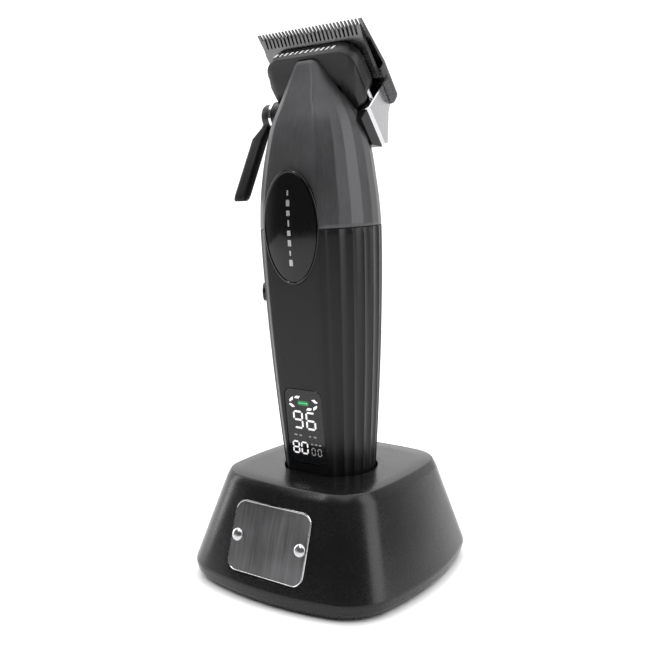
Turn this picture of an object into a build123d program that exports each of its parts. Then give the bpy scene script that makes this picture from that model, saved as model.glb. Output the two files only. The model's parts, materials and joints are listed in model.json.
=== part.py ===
"""Cordless hair clipper standing in its charging dock.

Frame: +Z up, the clipper's flat front with its display faces -Y, the taper lever is on -X.
The origin is the bottom centre of the dock. Millimetres.
The clipper leans a little forward, so its pieces are drawn on a tilted plane, body_axis, whose
local X, Y, Z are across, back and up along the clipper. The blade pieces are drawn on blade_plane,
whose local X, Y, Z are across, from the tooth tips to the heel, and out of the blade's back.
"""
from math import cos, radians, sin
import os

from build123d import *

ADD = Mode.ADD
CUT = Mode.SUBTRACT

os.makedirs("parts", exist_ok=True)

# ---- driving dimensions -------------------------------------------------------------------
LEAN = 4.4                 # forward lean of the clipper in the dock, degrees
BODY_FOOT = (0, -1.06, 28)  # where the clipper's axis meets its bottom face
SEAM = 107.3               # height of the seam between the two shells, along the clipper
SHELL_WALL = 2.0
MAX_RADIUS = 23.0
BOTTOM_RADIUS = 16.7
CAP_HEIGHT = 3.0

BLADE_TIP = (0, -18.5, 205.7)   # middle of the comb's tooth tips
BLADE_ANGLE = 46.0              # the blade plane leans this far back from horizontal, degrees
COMB_HALF = 22.7
COMB_LENGTH = 36.7
LEVER_SWING = 35.0
CUTTER_HALF = 21.6
CUTTER_STROKE = 1.2
RUNNING_GAP = 0.05

HEAD_HALF = 19.7
HEAD_FRONT = 6.1
HEAD_BACK = 27.9
HEAD_TOP = -2.2
HEAD_LIP = -8.8
HEAD_DEEP = -12.9
HEEL_TOP = 2.1
HEEL_FLOOR = -12.9
HEEL_FRONT = 28.0
DECK_THICK = 1.6

DOCK_TOP = 41.0
DOCK_WALL = 2.5
SOCKET_RADIUS = 18.5
FOOT_LIFT = 0.8

# ---- reference planes ---------------------------------------------------------------------
lean = radians(LEAN)
tilt = radians(BLADE_ANGLE)
body_axis = Plane(origin=BODY_FOOT, x_dir=(1, 0, 0), z_dir=(0, -sin(lean), cos(lean)))
blade_plane = Plane(origin=BLADE_TIP, x_dir=(1, 0, 0), z_dir=(0, sin(tilt), cos(tilt)))
blade_side = Plane(origin=BLADE_TIP, x_dir=(0, cos(tilt), -sin(tilt)), z_dir=(1, 0, 0))


def save(piece, node):
    """Labels a finished piece and writes its STEP file."""
    piece.part.label = node
    export_step(piece.part, f"parts/{node}.step")


# ---- the clipper's outline: a circle with a flat front, at a height along its axis ------------
FLAT_SHARE = cos(radians(31))   # the flat front's distance from the axis, as a share of the radius


def lower_radius(height):
    """The lower body widens towards the seam on a soft curve."""
    drop = (SEAM - height) / SEAM
    return MAX_RADIUS - (MAX_RADIUS - BOTTOM_RADIUS) * drop ** 1.6


# (height, radius, the circle's centre towards the back, the flat front) of the upper body
UPPER_LEVELS = [
    (SEAM, MAX_RADIUS, 0.0, -FLAT_SHARE * MAX_RADIUS),
    (116.0, 22.5, 0.0, -19.2),
    (124.0, 21.6, 0.1, -18.4),
    (134.5, 20.0, 0.6, -16.7),
    (144.8, 17.4, 0.8, -14.4),
    (152.3, 13.8, 0.6, -11.7),
    (159.5, 10.2, 0.0, -9.0),
    (167.0, 6.4, -0.8, -6.5),
]
LOWER_HEIGHTS = [CAP_HEIGHT, 30, 60, 85, SEAM]
LOWER_LEVELS = [(h, lower_radius(h), 0.0, -FLAT_SHARE * lower_radius(h)) for h in LOWER_HEIGHTS]


def flat_circle(radius, centre, flat):
    """A circle cut by the flat front, in the sketch that is open."""
    with Locations((0, centre)):
        Circle(radius)
    with Locations((0, flat - radius)):
        Rectangle(3 * radius, 2 * radius, mode=CUT)


def body_solid(levels, inset):
    """A filled solid through the levels, inset from the outer surface."""
    with BuildPart() as solid:
        for height, radius, centre, flat in levels:
            with BuildSketch(body_axis.offset(height)):
                flat_circle(radius - inset, centre, flat + inset)
        loft(ruled=True)
    return solid.part


# ---- the head's filled outline, which the upper shell is cut by --------------------------------
# (height out of the blade plane, half width, front, back) of the neck under the lip
NECK_LEVELS = [
    (HEAD_LIP, 19.0, 8.6, HEAD_BACK),
    (-11.0, 18.6, 12.5, HEAD_BACK),
    (HEAD_DEEP, 17.0, 18.5, HEAD_BACK),
]
NECK_STEP = -11.4            # below this the neck's pocket starts further back

# the round boss on the head's left side that the taper lever turns in
LEVER_PIVOT = (24.9, -16.3)
BOSS_RADIUS = 5.2
BOSS_SPAN = (-16.9, -12.4)
LEVER_CLEARANCE = 5.9


def lever_round(radius, inner, outer):
    """A cylinder about the lever's pivot between two distances from the middle plane."""
    with BuildPart() as solid:
        with BuildSketch(blade_side.offset(outer)):
            with Locations(LEVER_PIVOT):
                Circle(radius)
        extrude(amount=inner - outer)
    return solid.part


lever_recess = lever_round(LEVER_CLEARANCE, BOSS_SPAN[0], -25)
boss_room = lever_round(LEVER_CLEARANCE, BOSS_SPAN[1], BOSS_SPAN[0])


def blade_rectangle(half, front, back, corner):
    """A rounded rectangle on a blade sketch, from front to back."""
    with Locations((0, (front + back) / 2)):
        RectangleRounded(2 * half, back - front, corner)


with BuildPart() as head_outline:
    with BuildSketch(blade_plane.offset(HEAD_LIP)):
        blade_rectangle(HEAD_HALF, HEAD_FRONT, HEAD_BACK, 7.5)
    extrude(amount=HEAD_TOP - HEAD_LIP)
    for level, half, front, back in NECK_LEVELS:
        with BuildSketch(blade_plane.offset(level)):
            blade_rectangle(half, front, back, 4)
    loft(ruled=True)
    add(lever_recess, mode=CUT)
    add(lever_round(BOSS_RADIUS, BOSS_SPAN[1], BOSS_SPAN[0]))

BRACKET_HALF = 19.3
BRACKET_FLOOR = -18.2
BRACKET_OUTLINE = [
    (HEEL_FRONT, HEEL_FLOOR), (44.9, HEEL_FLOOR), (39.7, BRACKET_FLOOR), (HEEL_FRONT, BRACKET_FLOOR)
]

with BuildPart() as bracket_outline:
    with BuildSketch(blade_side.offset(-BRACKET_HALF)):
        with BuildLine():
            Polyline(*BRACKET_OUTLINE, close=True)
        make_face()
    extrude(amount=2 * BRACKET_HALF)
    add(lever_recess, mode=CUT)
    add(boss_room, mode=CUT)

with BuildPart() as rear_deck:
    add(body_solid(UPPER_LEVELS, 0))
    with BuildSketch(blade_plane.offset(HEEL_FLOOR - DECK_THICK)):
        with Locations((0, HEEL_FRONT)):
            Rectangle(60, 40, align=(Align.CENTER, Align.MIN))
    extrude(amount=DECK_THICK, mode=Mode.INTERSECT)

# ---- shells -------------------------------------------------------------------------------
with BuildPart() as upper_wall:
    add(body_solid(UPPER_LEVELS, 0))
    add(body_solid(UPPER_LEVELS, SHELL_WALL), mode=CUT)
    with BuildSketch(blade_plane.offset(HEAD_LIP)):
        Rectangle(90, 200)
    extrude(amount=60, mode=CUT)
    with BuildSketch(blade_plane.offset(HEEL_FLOOR)):
        with Locations((0, HEEL_FRONT)):
            Rectangle(90, 100, align=(Align.CENTER, Align.MIN))
    extrude(amount=60, mode=CUT)
    add(head_outline.part, mode=CUT)
    add(bracket_outline.part, mode=CUT)
    add(rear_deck.part, mode=CUT)
    add(lever_recess, mode=CUT)
    add(boss_room, mode=CUT)


# ---- helpers that add simple shapes to the piece that is open ----------------------------------


def box_on(plane, x, y, z, mode=ADD):
    """A box given as its ranges along a plane's X, Y and normal."""
    with BuildSketch(plane.offset(z[0])) as profile:
        with Locations(((x[0] + x[1]) / 2, (y[0] + y[1]) / 2)):
            Rectangle(x[1] - x[0], y[1] - y[0])
    extrude(profile.sketch, amount=z[1] - z[0], mode=mode)


def rods_on(plane, places, radius, z, mode=ADD):
    """Round rods square to a plane, at places on it, over a range of heights."""
    with BuildSketch(plane.offset(z[0])) as profile:
        with Locations(*places):
            Circle(radius)
    extrude(profile.sketch, amount=z[1] - z[0], mode=mode)


def prism_on(plane, outline, z, mode=ADD):
    """A prism square to a plane, from its outline on it."""
    with BuildSketch(plane.offset(z[0])) as profile:
        with BuildLine():
            Polyline(*outline, close=True)
        make_face()
    extrude(profile.sketch, amount=z[1] - z[0], mode=mode)


def ring_on(plane, place, outer, inner, z):
    """A round ring square to a plane."""
    rods_on(plane, [place], outer, z)
    rods_on(plane, [place], inner, (z[0] - 0.1, z[1] + 0.1), CUT)


# ---- oval badge and display, let into the flat front -------------------------------------------
BADGE_WIDTH = 24.4
BADGE_HEIGHT = 41.4
BADGE_DEPTH = 1.2
BADGE_RAISE = 1.5           # from just under the seam to the middle of the badge
BADGE_DOME = 1.1
DISPLAY_HALF = 8.6
DISPLAY_FOOT = 17.5
DISPLAY_HEAD = 47.6
DISPLAY_DEPTH = 1.2


def flat_at(height):
    """How far forward the flat front is, at a height on the lower body."""
    return -FLAT_SHARE * lower_radius(height)


def front_plane(height):
    """A plane lying on the flat front at a height; its local Y is up the clipper."""
    slope = flat_at(height + 1) - flat_at(height - 1)
    origin = body_axis.from_local_coords((0, flat_at(height), height))
    up = body_axis.from_local_coords((0, flat_at(height) + slope, height + 2)) - origin
    return Plane(origin=origin, x_dir=(1, 0, 0), z_dir=Vector(1, 0, 0).cross(up))


seam_front = front_plane(SEAM - 1)
badge_plane = Plane(
    origin=seam_front.from_local_coords((0, BADGE_RAISE, 0)), x_dir=(1, 0, 0), z_dir=seam_front.z_dir,
)
display_plane = front_plane((DISPLAY_FOOT + DISPLAY_HEAD) / 2)
DISPLAY_HEIGHT = DISPLAY_HEAD - DISPLAY_FOOT

with BuildPart() as badge_pocket:
    with BuildSketch(badge_plane.offset(-BADGE_DEPTH)):
        Ellipse(BADGE_WIDTH / 2, BADGE_HEIGHT / 2)
    extrude(amount=BADGE_DEPTH + 3)

with BuildPart() as oval_badge:
    with BuildSketch(badge_plane.offset(-BADGE_DEPTH)):
        Ellipse(BADGE_WIDTH / 2 - 0.1, BADGE_HEIGHT / 2 - 0.1)
    extrude(amount=BADGE_DEPTH)
    for rise, inset in ((0, 0.4), (0.6 * BADGE_DOME, 2.2), (BADGE_DOME, 5.5)):
        with BuildSketch(badge_plane.offset(rise)):
            Ellipse(BADGE_WIDTH / 2 - inset, BADGE_HEIGHT / 2 - inset)
    loft(ruled=True)

with BuildPart() as display_pocket:
    with BuildSketch(display_plane.offset(-DISPLAY_DEPTH)):
        RectangleRounded(2 * DISPLAY_HALF, DISPLAY_HEIGHT, 3)
    extrude(amount=DISPLAY_DEPTH + 3)
    with BuildSketch(display_plane.offset(-4)):
        RectangleRounded(2 * DISPLAY_HALF - 2, DISPLAY_HEIGHT - 2, 2)
    extrude(amount=4)

with BuildPart() as display_window:
    with BuildSketch(display_plane.offset(-DISPLAY_DEPTH)):
        RectangleRounded(2 * DISPLAY_HALF - 0.2, DISPLAY_HEIGHT - 0.2, 2.9)
    extrude(amount=DISPLAY_DEPTH - 0.05)

with BuildPart() as display_module:
    box_on(body_axis, (-8, 8), (-13.2, -11.4), (DISPLAY_FOOT, DISPLAY_HEAD))
    box_on(body_axis, (-7, 7), (-13.9, -13.2), (DISPLAY_FOOT + 2.5, DISPLAY_HEAD - 2.5))

# ---- power button, on the front left of the lower shell ----------------------------------------
BUTTON_HEIGHT = 82.8
BUTTON_TURN = radians(62)
BUTTON_RADIUS = 3.6
BUTTON_PROUD = 1.0
BUTTON_TRAVEL = 0.5
BUTTON_STEM = -3.0

button_reach = lower_radius(BUTTON_HEIGHT)
button_out = (-sin(BUTTON_TURN), -cos(BUTTON_TURN))
button_origin = body_axis.from_local_coords(
    (button_out[0] * button_reach, button_out[1] * button_reach, BUTTON_HEIGHT)
)
button_normal = button_origin - body_axis.from_local_coords((0, 0, BUTTON_HEIGHT))
button_plane = Plane(origin=button_origin, x_dir=body_axis.z_dir, z_dir=button_normal)

with BuildPart() as power_button:
    rods_on(button_plane, [(0, 0)], BUTTON_RADIUS, (-1.6, BUTTON_PROUD))
    rim = power_button.faces().sort_by(Axis(button_plane.origin, button_plane.z_dir))[-1].edges()
    fillet(rim, 0.5)
    rods_on(button_plane, [(0, 0)], 1.2, (BUTTON_STEM, -1.6))

with BuildPart() as tact_switch:
    switch_top = BUTTON_STEM - BUTTON_TRAVEL - RUNNING_GAP
    rods_on(button_plane, [(0, 0)], 1.1, (switch_top - 0.6, switch_top))
    box_on(button_plane, (-2.6, 2.6), (-2.6, 2.6), (switch_top - 3, switch_top - 0.6))
    box_on(button_plane, (-5, 5), (-4, 4), (switch_top - 4.2, switch_top - 3))

# ---- the two shells get their pockets -----------------------------------------------------------
with BuildPart() as upper_shell:
    add(upper_wall.part.solids().sort_by(SortBy.VOLUME)[-1])
    add(badge_pocket.part, mode=CUT)

with BuildPart() as lower_shell:
    add(body_solid(LOWER_LEVELS, 0))
    add(body_solid(LOWER_LEVELS, SHELL_WALL), mode=CUT)
    add(badge_pocket.part, mode=CUT)
    add(display_pocket.part, mode=CUT)
    rods_on(button_plane, [(0, 0)], BUTTON_RADIUS + 0.12, (-6, 3), CUT)

# ---- bottom cap and its contacts ----------------------------------------------------------------
CONTACT_HALF_SPACE = 5.0
CONTACT_RADIUS = 1.7
CONTACT_PLACES = [(-CONTACT_HALF_SPACE, 0), (CONTACT_HALF_SPACE, 0)]
SPIGOT_WALL = 3.8
SPIGOT_HEIGHT = 4.0
CAP_EDGE = 0.9               # height and width of the chamfer round the cap's bottom edge

with BuildPart() as charge_contacts:
    rods_on(body_axis, CONTACT_PLACES, CONTACT_RADIUS, (0, 4.2))

with BuildPart() as bottom_cap:
    with BuildSketch(body_axis):
        flat_circle(BOTTOM_RADIUS - CAP_EDGE, 0, flat_at(0) + CAP_EDGE)
    with BuildSketch(body_axis.offset(CAP_EDGE)):
        flat_circle(lower_radius(CAP_EDGE), 0, flat_at(CAP_EDGE))
    loft(ruled=True)
    with BuildSketch(body_axis.offset(CAP_EDGE)):
        flat_circle(lower_radius(CAP_EDGE), 0, flat_at(CAP_EDGE))
    with BuildSketch(body_axis.offset(CAP_HEIGHT)):
        flat_circle(lower_radius(CAP_HEIGHT), 0, flat_at(CAP_HEIGHT))
    loft(ruled=True)
    with BuildSketch(body_axis.offset(CAP_HEIGHT)):
        spigot = lower_radius(CAP_HEIGHT) - SHELL_WALL - 0.1
        flat_circle(spigot, 0, flat_at(CAP_HEIGHT) + SHELL_WALL + 0.1)
        Circle(spigot - SPIGOT_WALL, mode=CUT)
    extrude(amount=SPIGOT_HEIGHT)
    add(charge_contacts.part, mode=CUT)

# ---- inner frame, battery and boards ------------------------------------------------------------
BATTERY_RADIUS = 9.2
BATTERY_SPAN = (16.0, 81.0)
FRAME_SPAN = (12.0, 100.0)

with BuildPart() as battery_cell:
    rods_on(body_axis, [(0, 0.3)], BATTERY_RADIUS, BATTERY_SPAN)

with BuildPart() as battery_tabs:
    rods_on(body_axis, [(0, 0.3)], 6, (BATTERY_SPAN[0] - 0.5, BATTERY_SPAN[0]))
    rods_on(body_axis, [(0, 0.3)], 6, (BATTERY_SPAN[1], BATTERY_SPAN[1] + 0.5))

with BuildPart() as chassis:
    box_on(body_axis, (-10.5, 10.5), (-11.1, -9.3), FRAME_SPAN)
    with BuildSketch(body_axis.offset(FRAME_SPAN[0])):
        flat_circle(15.2, 0, -12.4)
    extrude(amount=1.8)
    with BuildSketch(body_axis.offset(FRAME_SPAN[1] - 2)):
        flat_circle(19.6, 0, -16.4)
    extrude(amount=2)
    for side in (-1, 1):
        wall = sorted((side * 9.8, side * 11.4))
        box_on(body_axis, wall, (-9.3, 2), (FRAME_SPAN[0] + 1.8, 60))

with BuildPart() as main_board:
    box_on(body_axis, (-10.5, 10.5), (-12.7, -11.1), (50, 97))
    box_on(body_axis, (-5, 5), (-13.9, -12.7), (56, 66))
    box_on(body_axis, (-3, 3), (-13.7, -12.7), (72, 78))
    box_on(body_axis, (4, 8), (-14.4, -12.7), (84, 92))
    box_on(body_axis, (-8, -5), (-14.2, -12.7), (82, 94))

# ---- motor ---------------------------------------------------------------------------------------
MOTOR_RADIUS = 12.5
MOTOR_FOOT = 100.0
MOTOR_LID = 3.0
MOTOR_HEAD = 134.0
SHAFT_RADIUS = 1.0
BUSH_RADIUS = 2.5
ECCENTRIC = CUTTER_STROKE
CENTRE = [(0, 0)]
MOUNT_SCREWS = [(-8, 0), (8, 0)]

with BuildPart() as motor_mount_screws:
    rods_on(body_axis, MOUNT_SCREWS, 1.0, (MOTOR_HEAD - 1, MOTOR_HEAD + 2))
    rods_on(body_axis, MOUNT_SCREWS, 1.9, (MOTOR_HEAD + 2, MOTOR_HEAD + 3.2))

with BuildPart() as motor_can:
    rods_on(body_axis, CENTRE, MOTOR_RADIUS, (MOTOR_FOOT + MOTOR_LID, MOTOR_HEAD))
    rods_on(body_axis, CENTRE, MOTOR_RADIUS - 1, (MOTOR_FOOT + MOTOR_LID, MOTOR_HEAD - 1), CUT)
    rods_on(body_axis, CENTRE, BUSH_RADIUS, (MOTOR_HEAD - 2, MOTOR_HEAD + 1), CUT)
    add(motor_mount_screws.part, mode=CUT)

with BuildPart() as motor_magnets:
    ring_on(body_axis, (0, 0), MOTOR_RADIUS - 1, 9.0, (107, 128))
    box_on(body_axis, (-1.5, 1.5), (-13, 13), (106, 129), CUT)

with BuildPart() as motor_end_cap:
    rods_on(body_axis, CENTRE, MOTOR_RADIUS, (MOTOR_FOOT, MOTOR_FOOT + MOTOR_LID))
    rods_on(body_axis, CENTRE, BUSH_RADIUS, (MOTOR_FOOT + 0.5, MOTOR_FOOT + 4), CUT)

with BuildPart() as motor_bushes:
    ring_on(body_axis, (0, 0), BUSH_RADIUS, SHAFT_RADIUS + RUNNING_GAP, (100.5, 103))
    ring_on(body_axis, (0, 0), BUSH_RADIUS, SHAFT_RADIUS + RUNNING_GAP, (132, 134.4))

with BuildPart() as motor_brushes:
    for side in (-1, 1):
        box_on(body_axis, sorted((side * 3.1, side * 6)), (-1.2, 1.2), (103, 106.5))

with BuildPart() as motor_mount:
    box_on(body_axis, (-14.5, 14.5), (-9, 5.2), (MOTOR_HEAD, MOTOR_HEAD + 2))
    rods_on(body_axis, CENTRE, 3.4, (MOTOR_HEAD - 1, MOTOR_HEAD + 3), CUT)
    add(motor_mount_screws.part, mode=CUT)

with BuildPart() as rotor_shaft:
    rods_on(body_axis, CENTRE, SHAFT_RADIUS, (100.7, 146))

with BuildPart() as rotor_core:
    ring_on(body_axis, (0, 0), 8.4, SHAFT_RADIUS, (108, 127))
    with BuildSketch(body_axis.offset(107)):
        with PolarLocations(6.2, 5):
            Rectangle(5, 1.2)
    extrude(amount=21, mode=CUT)

with BuildPart() as commutator:
    ring_on(body_axis, (0, 0), 2.9, SHAFT_RADIUS, (103.4, 107.6))

with BuildPart() as eccentric_cam:
    rods_on(body_axis, CENTRE, 3.0, (140, 147))
    rods_on(body_axis, CENTRE, SHAFT_RADIUS, (139, 146), CUT)
    rods_on(body_axis, [(ECCENTRIC, 0)], 1.2, (147, 153.4))

# ---- head block ----------------------------------------------------------------------------------
LEVER_SHAFT = 2.2
CRANK_DISC = 4.2
DISC_SPAN = (-15.7, -15.2)
CRANK = 2.66
crank_angle = radians(90 + LEVER_SWING / 2)
CRANK_PIN = (LEVER_PIVOT[0] + CRANK * cos(crank_angle), LEVER_PIVOT[1] + CRANK * sin(crank_angle))
HEAD_SCREW_X = 17.8
head_along = Plane(origin=BLADE_TIP, x_dir=(1, 0, 0), z_dir=blade_plane.y_dir)
HEAD_SCREWS = [(-HEAD_SCREW_X, 6), (HEAD_SCREW_X, 6)]

with BuildPart() as head_screws:
    rods_on(head_along, HEAD_SCREWS, 1.0, (21, 33))

with BuildPart() as head_block:
    add(head_outline.part)
    box_on(blade_plane, (-15.6, 15.6), (12.2, HEAD_BACK + 0.3), (HEAD_LIP, HEAD_TOP + 0.3), CUT)
    box_on(blade_plane, (-12.4, 12.4), (15.6, HEAD_BACK + 0.3), (NECK_STEP, HEAD_LIP), CUT)
    box_on(blade_plane, (-12.4, 12.4), (17.2, HEAD_BACK + 0.3), (HEAD_DEEP - 1, NECK_STEP), CUT)
    box_on(blade_plane, (-15.6, -11), (21.5, HEAD_BACK + 0.3), (-23, HEAD_LIP), CUT)
    rods_on(blade_side, [LEVER_PIVOT], LEVER_SHAFT + RUNNING_GAP, (BOSS_SPAN[0] - 1, -15), CUT)
    rods_on(blade_side, [LEVER_PIVOT], CRANK_DISC + 0.4, (DISC_SPAN[0] - 0.2, BOSS_SPAN[1]), CUT)
    add(head_screws.part, mode=CUT)

with BuildPart() as heel_bracket:
    add(bracket_outline.part)
    add(rear_deck.part)
    add(lever_recess, mode=CUT)
    add(boss_room, mode=CUT)
    box_on(blade_plane, (-9, 9), (27, 32.5), (-19, -14.2), CUT)

# ---- chrome heel block that carries the comb ------------------------------------------------------
NUT_BAR = ((-15, 15), (29.4, 34.6), (-4.0, -2.0))
COMB_SCREWS = [(-11.5, 32), (11.5, 32)]
COMB_SCREW_RADIUS = 1.6
HEEL_HALF = 19.7
HEEL_OUTLINE = [
    (28, HEEL_FLOOR), (28, HEEL_TOP), (37, HEEL_TOP), (38.2, -0.5), (46.3, -9.0), (44.9, HEEL_FLOOR)
]

with BuildPart() as heel_block:
    prism_on(blade_side, HEEL_OUTLINE, (-HEEL_HALF, HEEL_HALF))
    box_on(blade_plane, (-15.3, 15.3), (27.9, 36.6), (-4.3, -1.7), CUT)
    for side in (-1, 1):
        slot_x = sorted((side * 9.4, side * 13.6))
        box_on(blade_plane, slot_x, (29.8, 35.9), (-2, 3), CUT)
    box_on(blade_plane, (-16, 16), (30.5, 41), (-13, -6.4), CUT)
    add(lever_recess, mode=CUT)
    add(boss_room, mode=CUT)
    add(head_screws.part, mode=CUT)

# ---- comb blade, its screws and the slide that moves it -------------------------------------------
COMB_PITCH = 1.5
COMB_SLOT = 0.72
COMB_ROOT = 4.7
COMB_TEETH = 29
CUTTER_PITCH = 1.7
CUTTER_SLOT = 0.6
CUTTER_ROOT = 5.4
SLOT_LENGTH = 6.0
CUTTER_TEETH = 24
COMB_OUTLINE = [
    (0, 0), (7.3, 0), (8.6, 0.9), (19.8, 3.2), (20, 0), (24, 0),
    (24, 2.2), (COMB_LENGTH, 2.2), (COMB_LENGTH, 4.6), (19.9, 4.6), (0, 0.5),
]

LEG_X = (-15, -13)           # the slide's leg, which the lever's crank pin pushes
LEG_HEEL = (22.3, 25.9)
LEG_FOOT = CRANK_PIN[1] - 1.5
FORK_SLOT = 2.64

with BuildPart() as comb_screws:
    rods_on(blade_plane, COMB_SCREWS, COMB_SCREW_RADIUS, (-4.0, 3.4))
    rods_on(blade_plane, COMB_SCREWS, 3.0, (3.4, 4.5))

with BuildPart() as comb_blade:
    prism_on(blade_side, COMB_OUTLINE, (-COMB_HALF, COMB_HALF))
    heel_corners = comb_blade.edges().filter_by(Axis((0, 0, 0), blade_plane.z_dir))
    fillet(heel_corners.sort_by(Axis(BLADE_TIP, blade_plane.y_dir))[-2:], 3)
    with BuildSketch(blade_plane.offset(-1)):
        with GridLocations(COMB_PITCH, 1, COMB_TEETH, 1):
            with Locations((0, COMB_ROOT - SLOT_LENGTH / 2)):
                Rectangle(COMB_SLOT, SLOT_LENGTH)
    extrude(amount=6, mode=CUT)
    add(comb_screws.part, mode=CUT)

with BuildPart() as comb_slide:
    box_on(blade_plane, *NUT_BAR)
    box_on(blade_plane, LEG_X, (LEG_HEEL[0], 29.5), (-4.0, -2.7))
    box_on(blade_plane, LEG_X, LEG_HEEL, (LEG_FOOT, -2.7))
    fork_slot = (CRANK_PIN[0] - FORK_SLOT / 2, CRANK_PIN[0] + FORK_SLOT / 2)
    box_on(blade_plane, (-16, -12), fork_slot, (LEG_FOOT - 1, LEG_FOOT + 4), CUT)
    add(comb_screws.part, mode=CUT)

# ---- cutter blade and its drive yoke ---------------------------------------------------------------
CUTTER_FRONT = 2.0
CUTTER_BACK = 22.5
CUTTER_TOP = -RUNNING_GAP
CUTTER_FLOOR = -1.9
YOKE_SCREWS = [(0, 14.5), (0, 18.1)]
FORK_GAP = 1.2 + 2 * CUTTER_STROKE + 0.15

with BuildPart() as yoke_screws:
    rods_on(blade_plane, YOKE_SCREWS, 1.0, (-4.2, -0.4))
    rods_on(blade_plane, YOKE_SCREWS, 1.6, (-5.2, -4.2))

with BuildPart() as cutter_blade:
    prism_on(blade_side, [
        (CUTTER_FRONT, -0.4), (CUTTER_FRONT, CUTTER_TOP), (CUTTER_BACK, CUTTER_TOP),
        (CUTTER_BACK, CUTTER_FLOOR), (8, CUTTER_FLOOR),
    ], (-CUTTER_HALF, CUTTER_HALF))
    with BuildSketch(blade_plane.offset(-3)):
        with GridLocations(CUTTER_PITCH, 1, CUTTER_TEETH, 1):
            with Locations((0, CUTTER_ROOT - SLOT_LENGTH / 2)):
                Rectangle(CUTTER_SLOT, SLOT_LENGTH)
    extrude(amount=4, mode=CUT)
    add(yoke_screws.part, mode=CUT)

with BuildPart() as drive_yoke:
    box_on(blade_plane, (-9.4, 9.4), (12.6, 19.6), (-4.2, CUTTER_FLOOR))
    for side in (-1, 1):
        prong = [(13.4, -4.2), (19.6, -4.2), (26, -12.6), (22.6, -16.8), (18.6, -13.2)]
        prism_on(blade_side, prong, sorted((side * FORK_GAP, side * (FORK_GAP + 1.8))))
    add(yoke_screws.part, mode=CUT)

with BuildPart() as tension_spring:
    with BuildLine():
        legs = [
            blade_plane.from_local_coords(p)
            for p in [(-8.6, 16, -4.85), (-8.6, 26.8, -6.6), (8.6, 26.8, -6.6), (8.6, 16, -4.85)]
        ]
        FilletPolyline(*legs, radius=1.5)
    with BuildSketch(Plane(origin=legs[0], z_dir=legs[1] - legs[0])):
        Circle(0.5)
    sweep()

# ---- taper lever -----------------------------------------------------------------------------------
LEVER_HUB = 4.8
WASHER_RADIUS = 5.4
SCREW_RADIUS = 2.9
SCREW_PROUD = 1.2
HUB_SPAN = (-21.9, -18.05)
ARM_DEPTH = 4.6
# (height on the body axis, across, back, width) of the arm's middle
ARM_LINE = [
    (148.0, -20.1, -1.0, 3.4), (145.0, -21.4, -1.9, 3.6),
    (141.0, -24.2, -3.4, 5.2), (117.7, -28.6, -11.8, 5.4),
]

with BuildPart() as taper_lever:
    rods_on(blade_side, [LEVER_PIVOT], LEVER_HUB, HUB_SPAN)
    for height, across, back, width in ARM_LINE:
        with BuildSketch(body_axis.offset(height)):
            with Locations((across, back)):
                RectangleRounded(width, ARM_DEPTH, 1.2)
    loft(ruled=True)
    rods_on(blade_side, [LEVER_PIVOT], LEVER_SHAFT, (HUB_SPAN[0] - 2, HUB_SPAN[1] + 2), CUT)
    rods_on(blade_side, [LEVER_PIVOT], SCREW_RADIUS + 0.1, (HUB_SPAN[0] - 2, HUB_SPAN[0]), CUT)

with BuildPart() as lever_shaft:
    rods_on(blade_side, [LEVER_PIVOT], LEVER_SHAFT, (HUB_SPAN[0], DISC_SPAN[1]))
    rods_on(blade_side, [LEVER_PIVOT], CRANK_DISC, DISC_SPAN)
    rods_on(blade_side, [CRANK_PIN], 1.2, (DISC_SPAN[1], -12.8))

with BuildPart() as lever_screw:
    rods_on(blade_side, [LEVER_PIVOT], SCREW_RADIUS, (HUB_SPAN[0] - SCREW_PROUD, HUB_SPAN[0]))

with BuildPart() as lever_washer:
    rods_on(blade_side, [LEVER_PIVOT], WASHER_RADIUS, (HUB_SPAN[1], BOSS_SPAN[0] - RUNNING_GAP))
    rods_on(blade_side, [LEVER_PIVOT], LEVER_SHAFT, (HUB_SPAN[1] - 1, BOSS_SPAN[0] + 1), CUT)

# ---- charging dock ----------------------------------------------------------------------------------
# (height, half width, half depth, how far the sides bulge, corner radius)
DOCK_LEVELS = [
    (FOOT_LIFT, 44.2, 47.6, 6.6, 19.5),
    (3.0, 45.8, 49.2, 7.0, 20.0),
    (6.0, 46.5, 49.9, 7.2, 20.0),
    (38.1, 34.9, 38.3, 3.4, 17.0),
    (DOCK_TOP, 33.2, 36.6, 2.8, 16.0),
]


def dock_outline(half_x, half_y, bulge, corner, inset):
    """A square with bulging sides and round corners, in the sketch that is open."""
    x = half_x - inset
    y = half_y - inset
    corners = [(-(x - bulge), -(y - bulge)), (x - bulge, -(y - bulge)),
               (x - bulge, y - bulge), (-(x - bulge), y - bulge)]
    middles = [(0, -y), (x, 0), (0, y), (-x, 0)]
    with BuildLine() as outline:
        for i, middle in enumerate(middles):
            ThreePointArc(corners[i], middle, corners[(i + 1) % 4])
    face = make_face(outline.edges())
    fillet(face.vertices(), corner - inset)


def dock_solid(levels, inset):
    """A filled solid through the dock's levels."""
    with BuildPart() as solid:
        for below, above in zip(levels, levels[1:]):
            for level in (below, above):
                with BuildSketch(Plane.XY.offset(level[0])):
                    dock_outline(*level[1:], inset)
            loft(ruled=True)
    return solid.part


def dock_level(height, inset):
    """The dock's outline at a height between the belt and the chamfer."""
    share = (height - DOCK_LEVELS[2][0]) / (DOCK_LEVELS[3][0] - DOCK_LEVELS[2][0])
    mixed = [a + (b - a) * share for a, b in zip(DOCK_LEVELS[2][1:], DOCK_LEVELS[3][1:])]
    return [height, *mixed]


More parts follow.
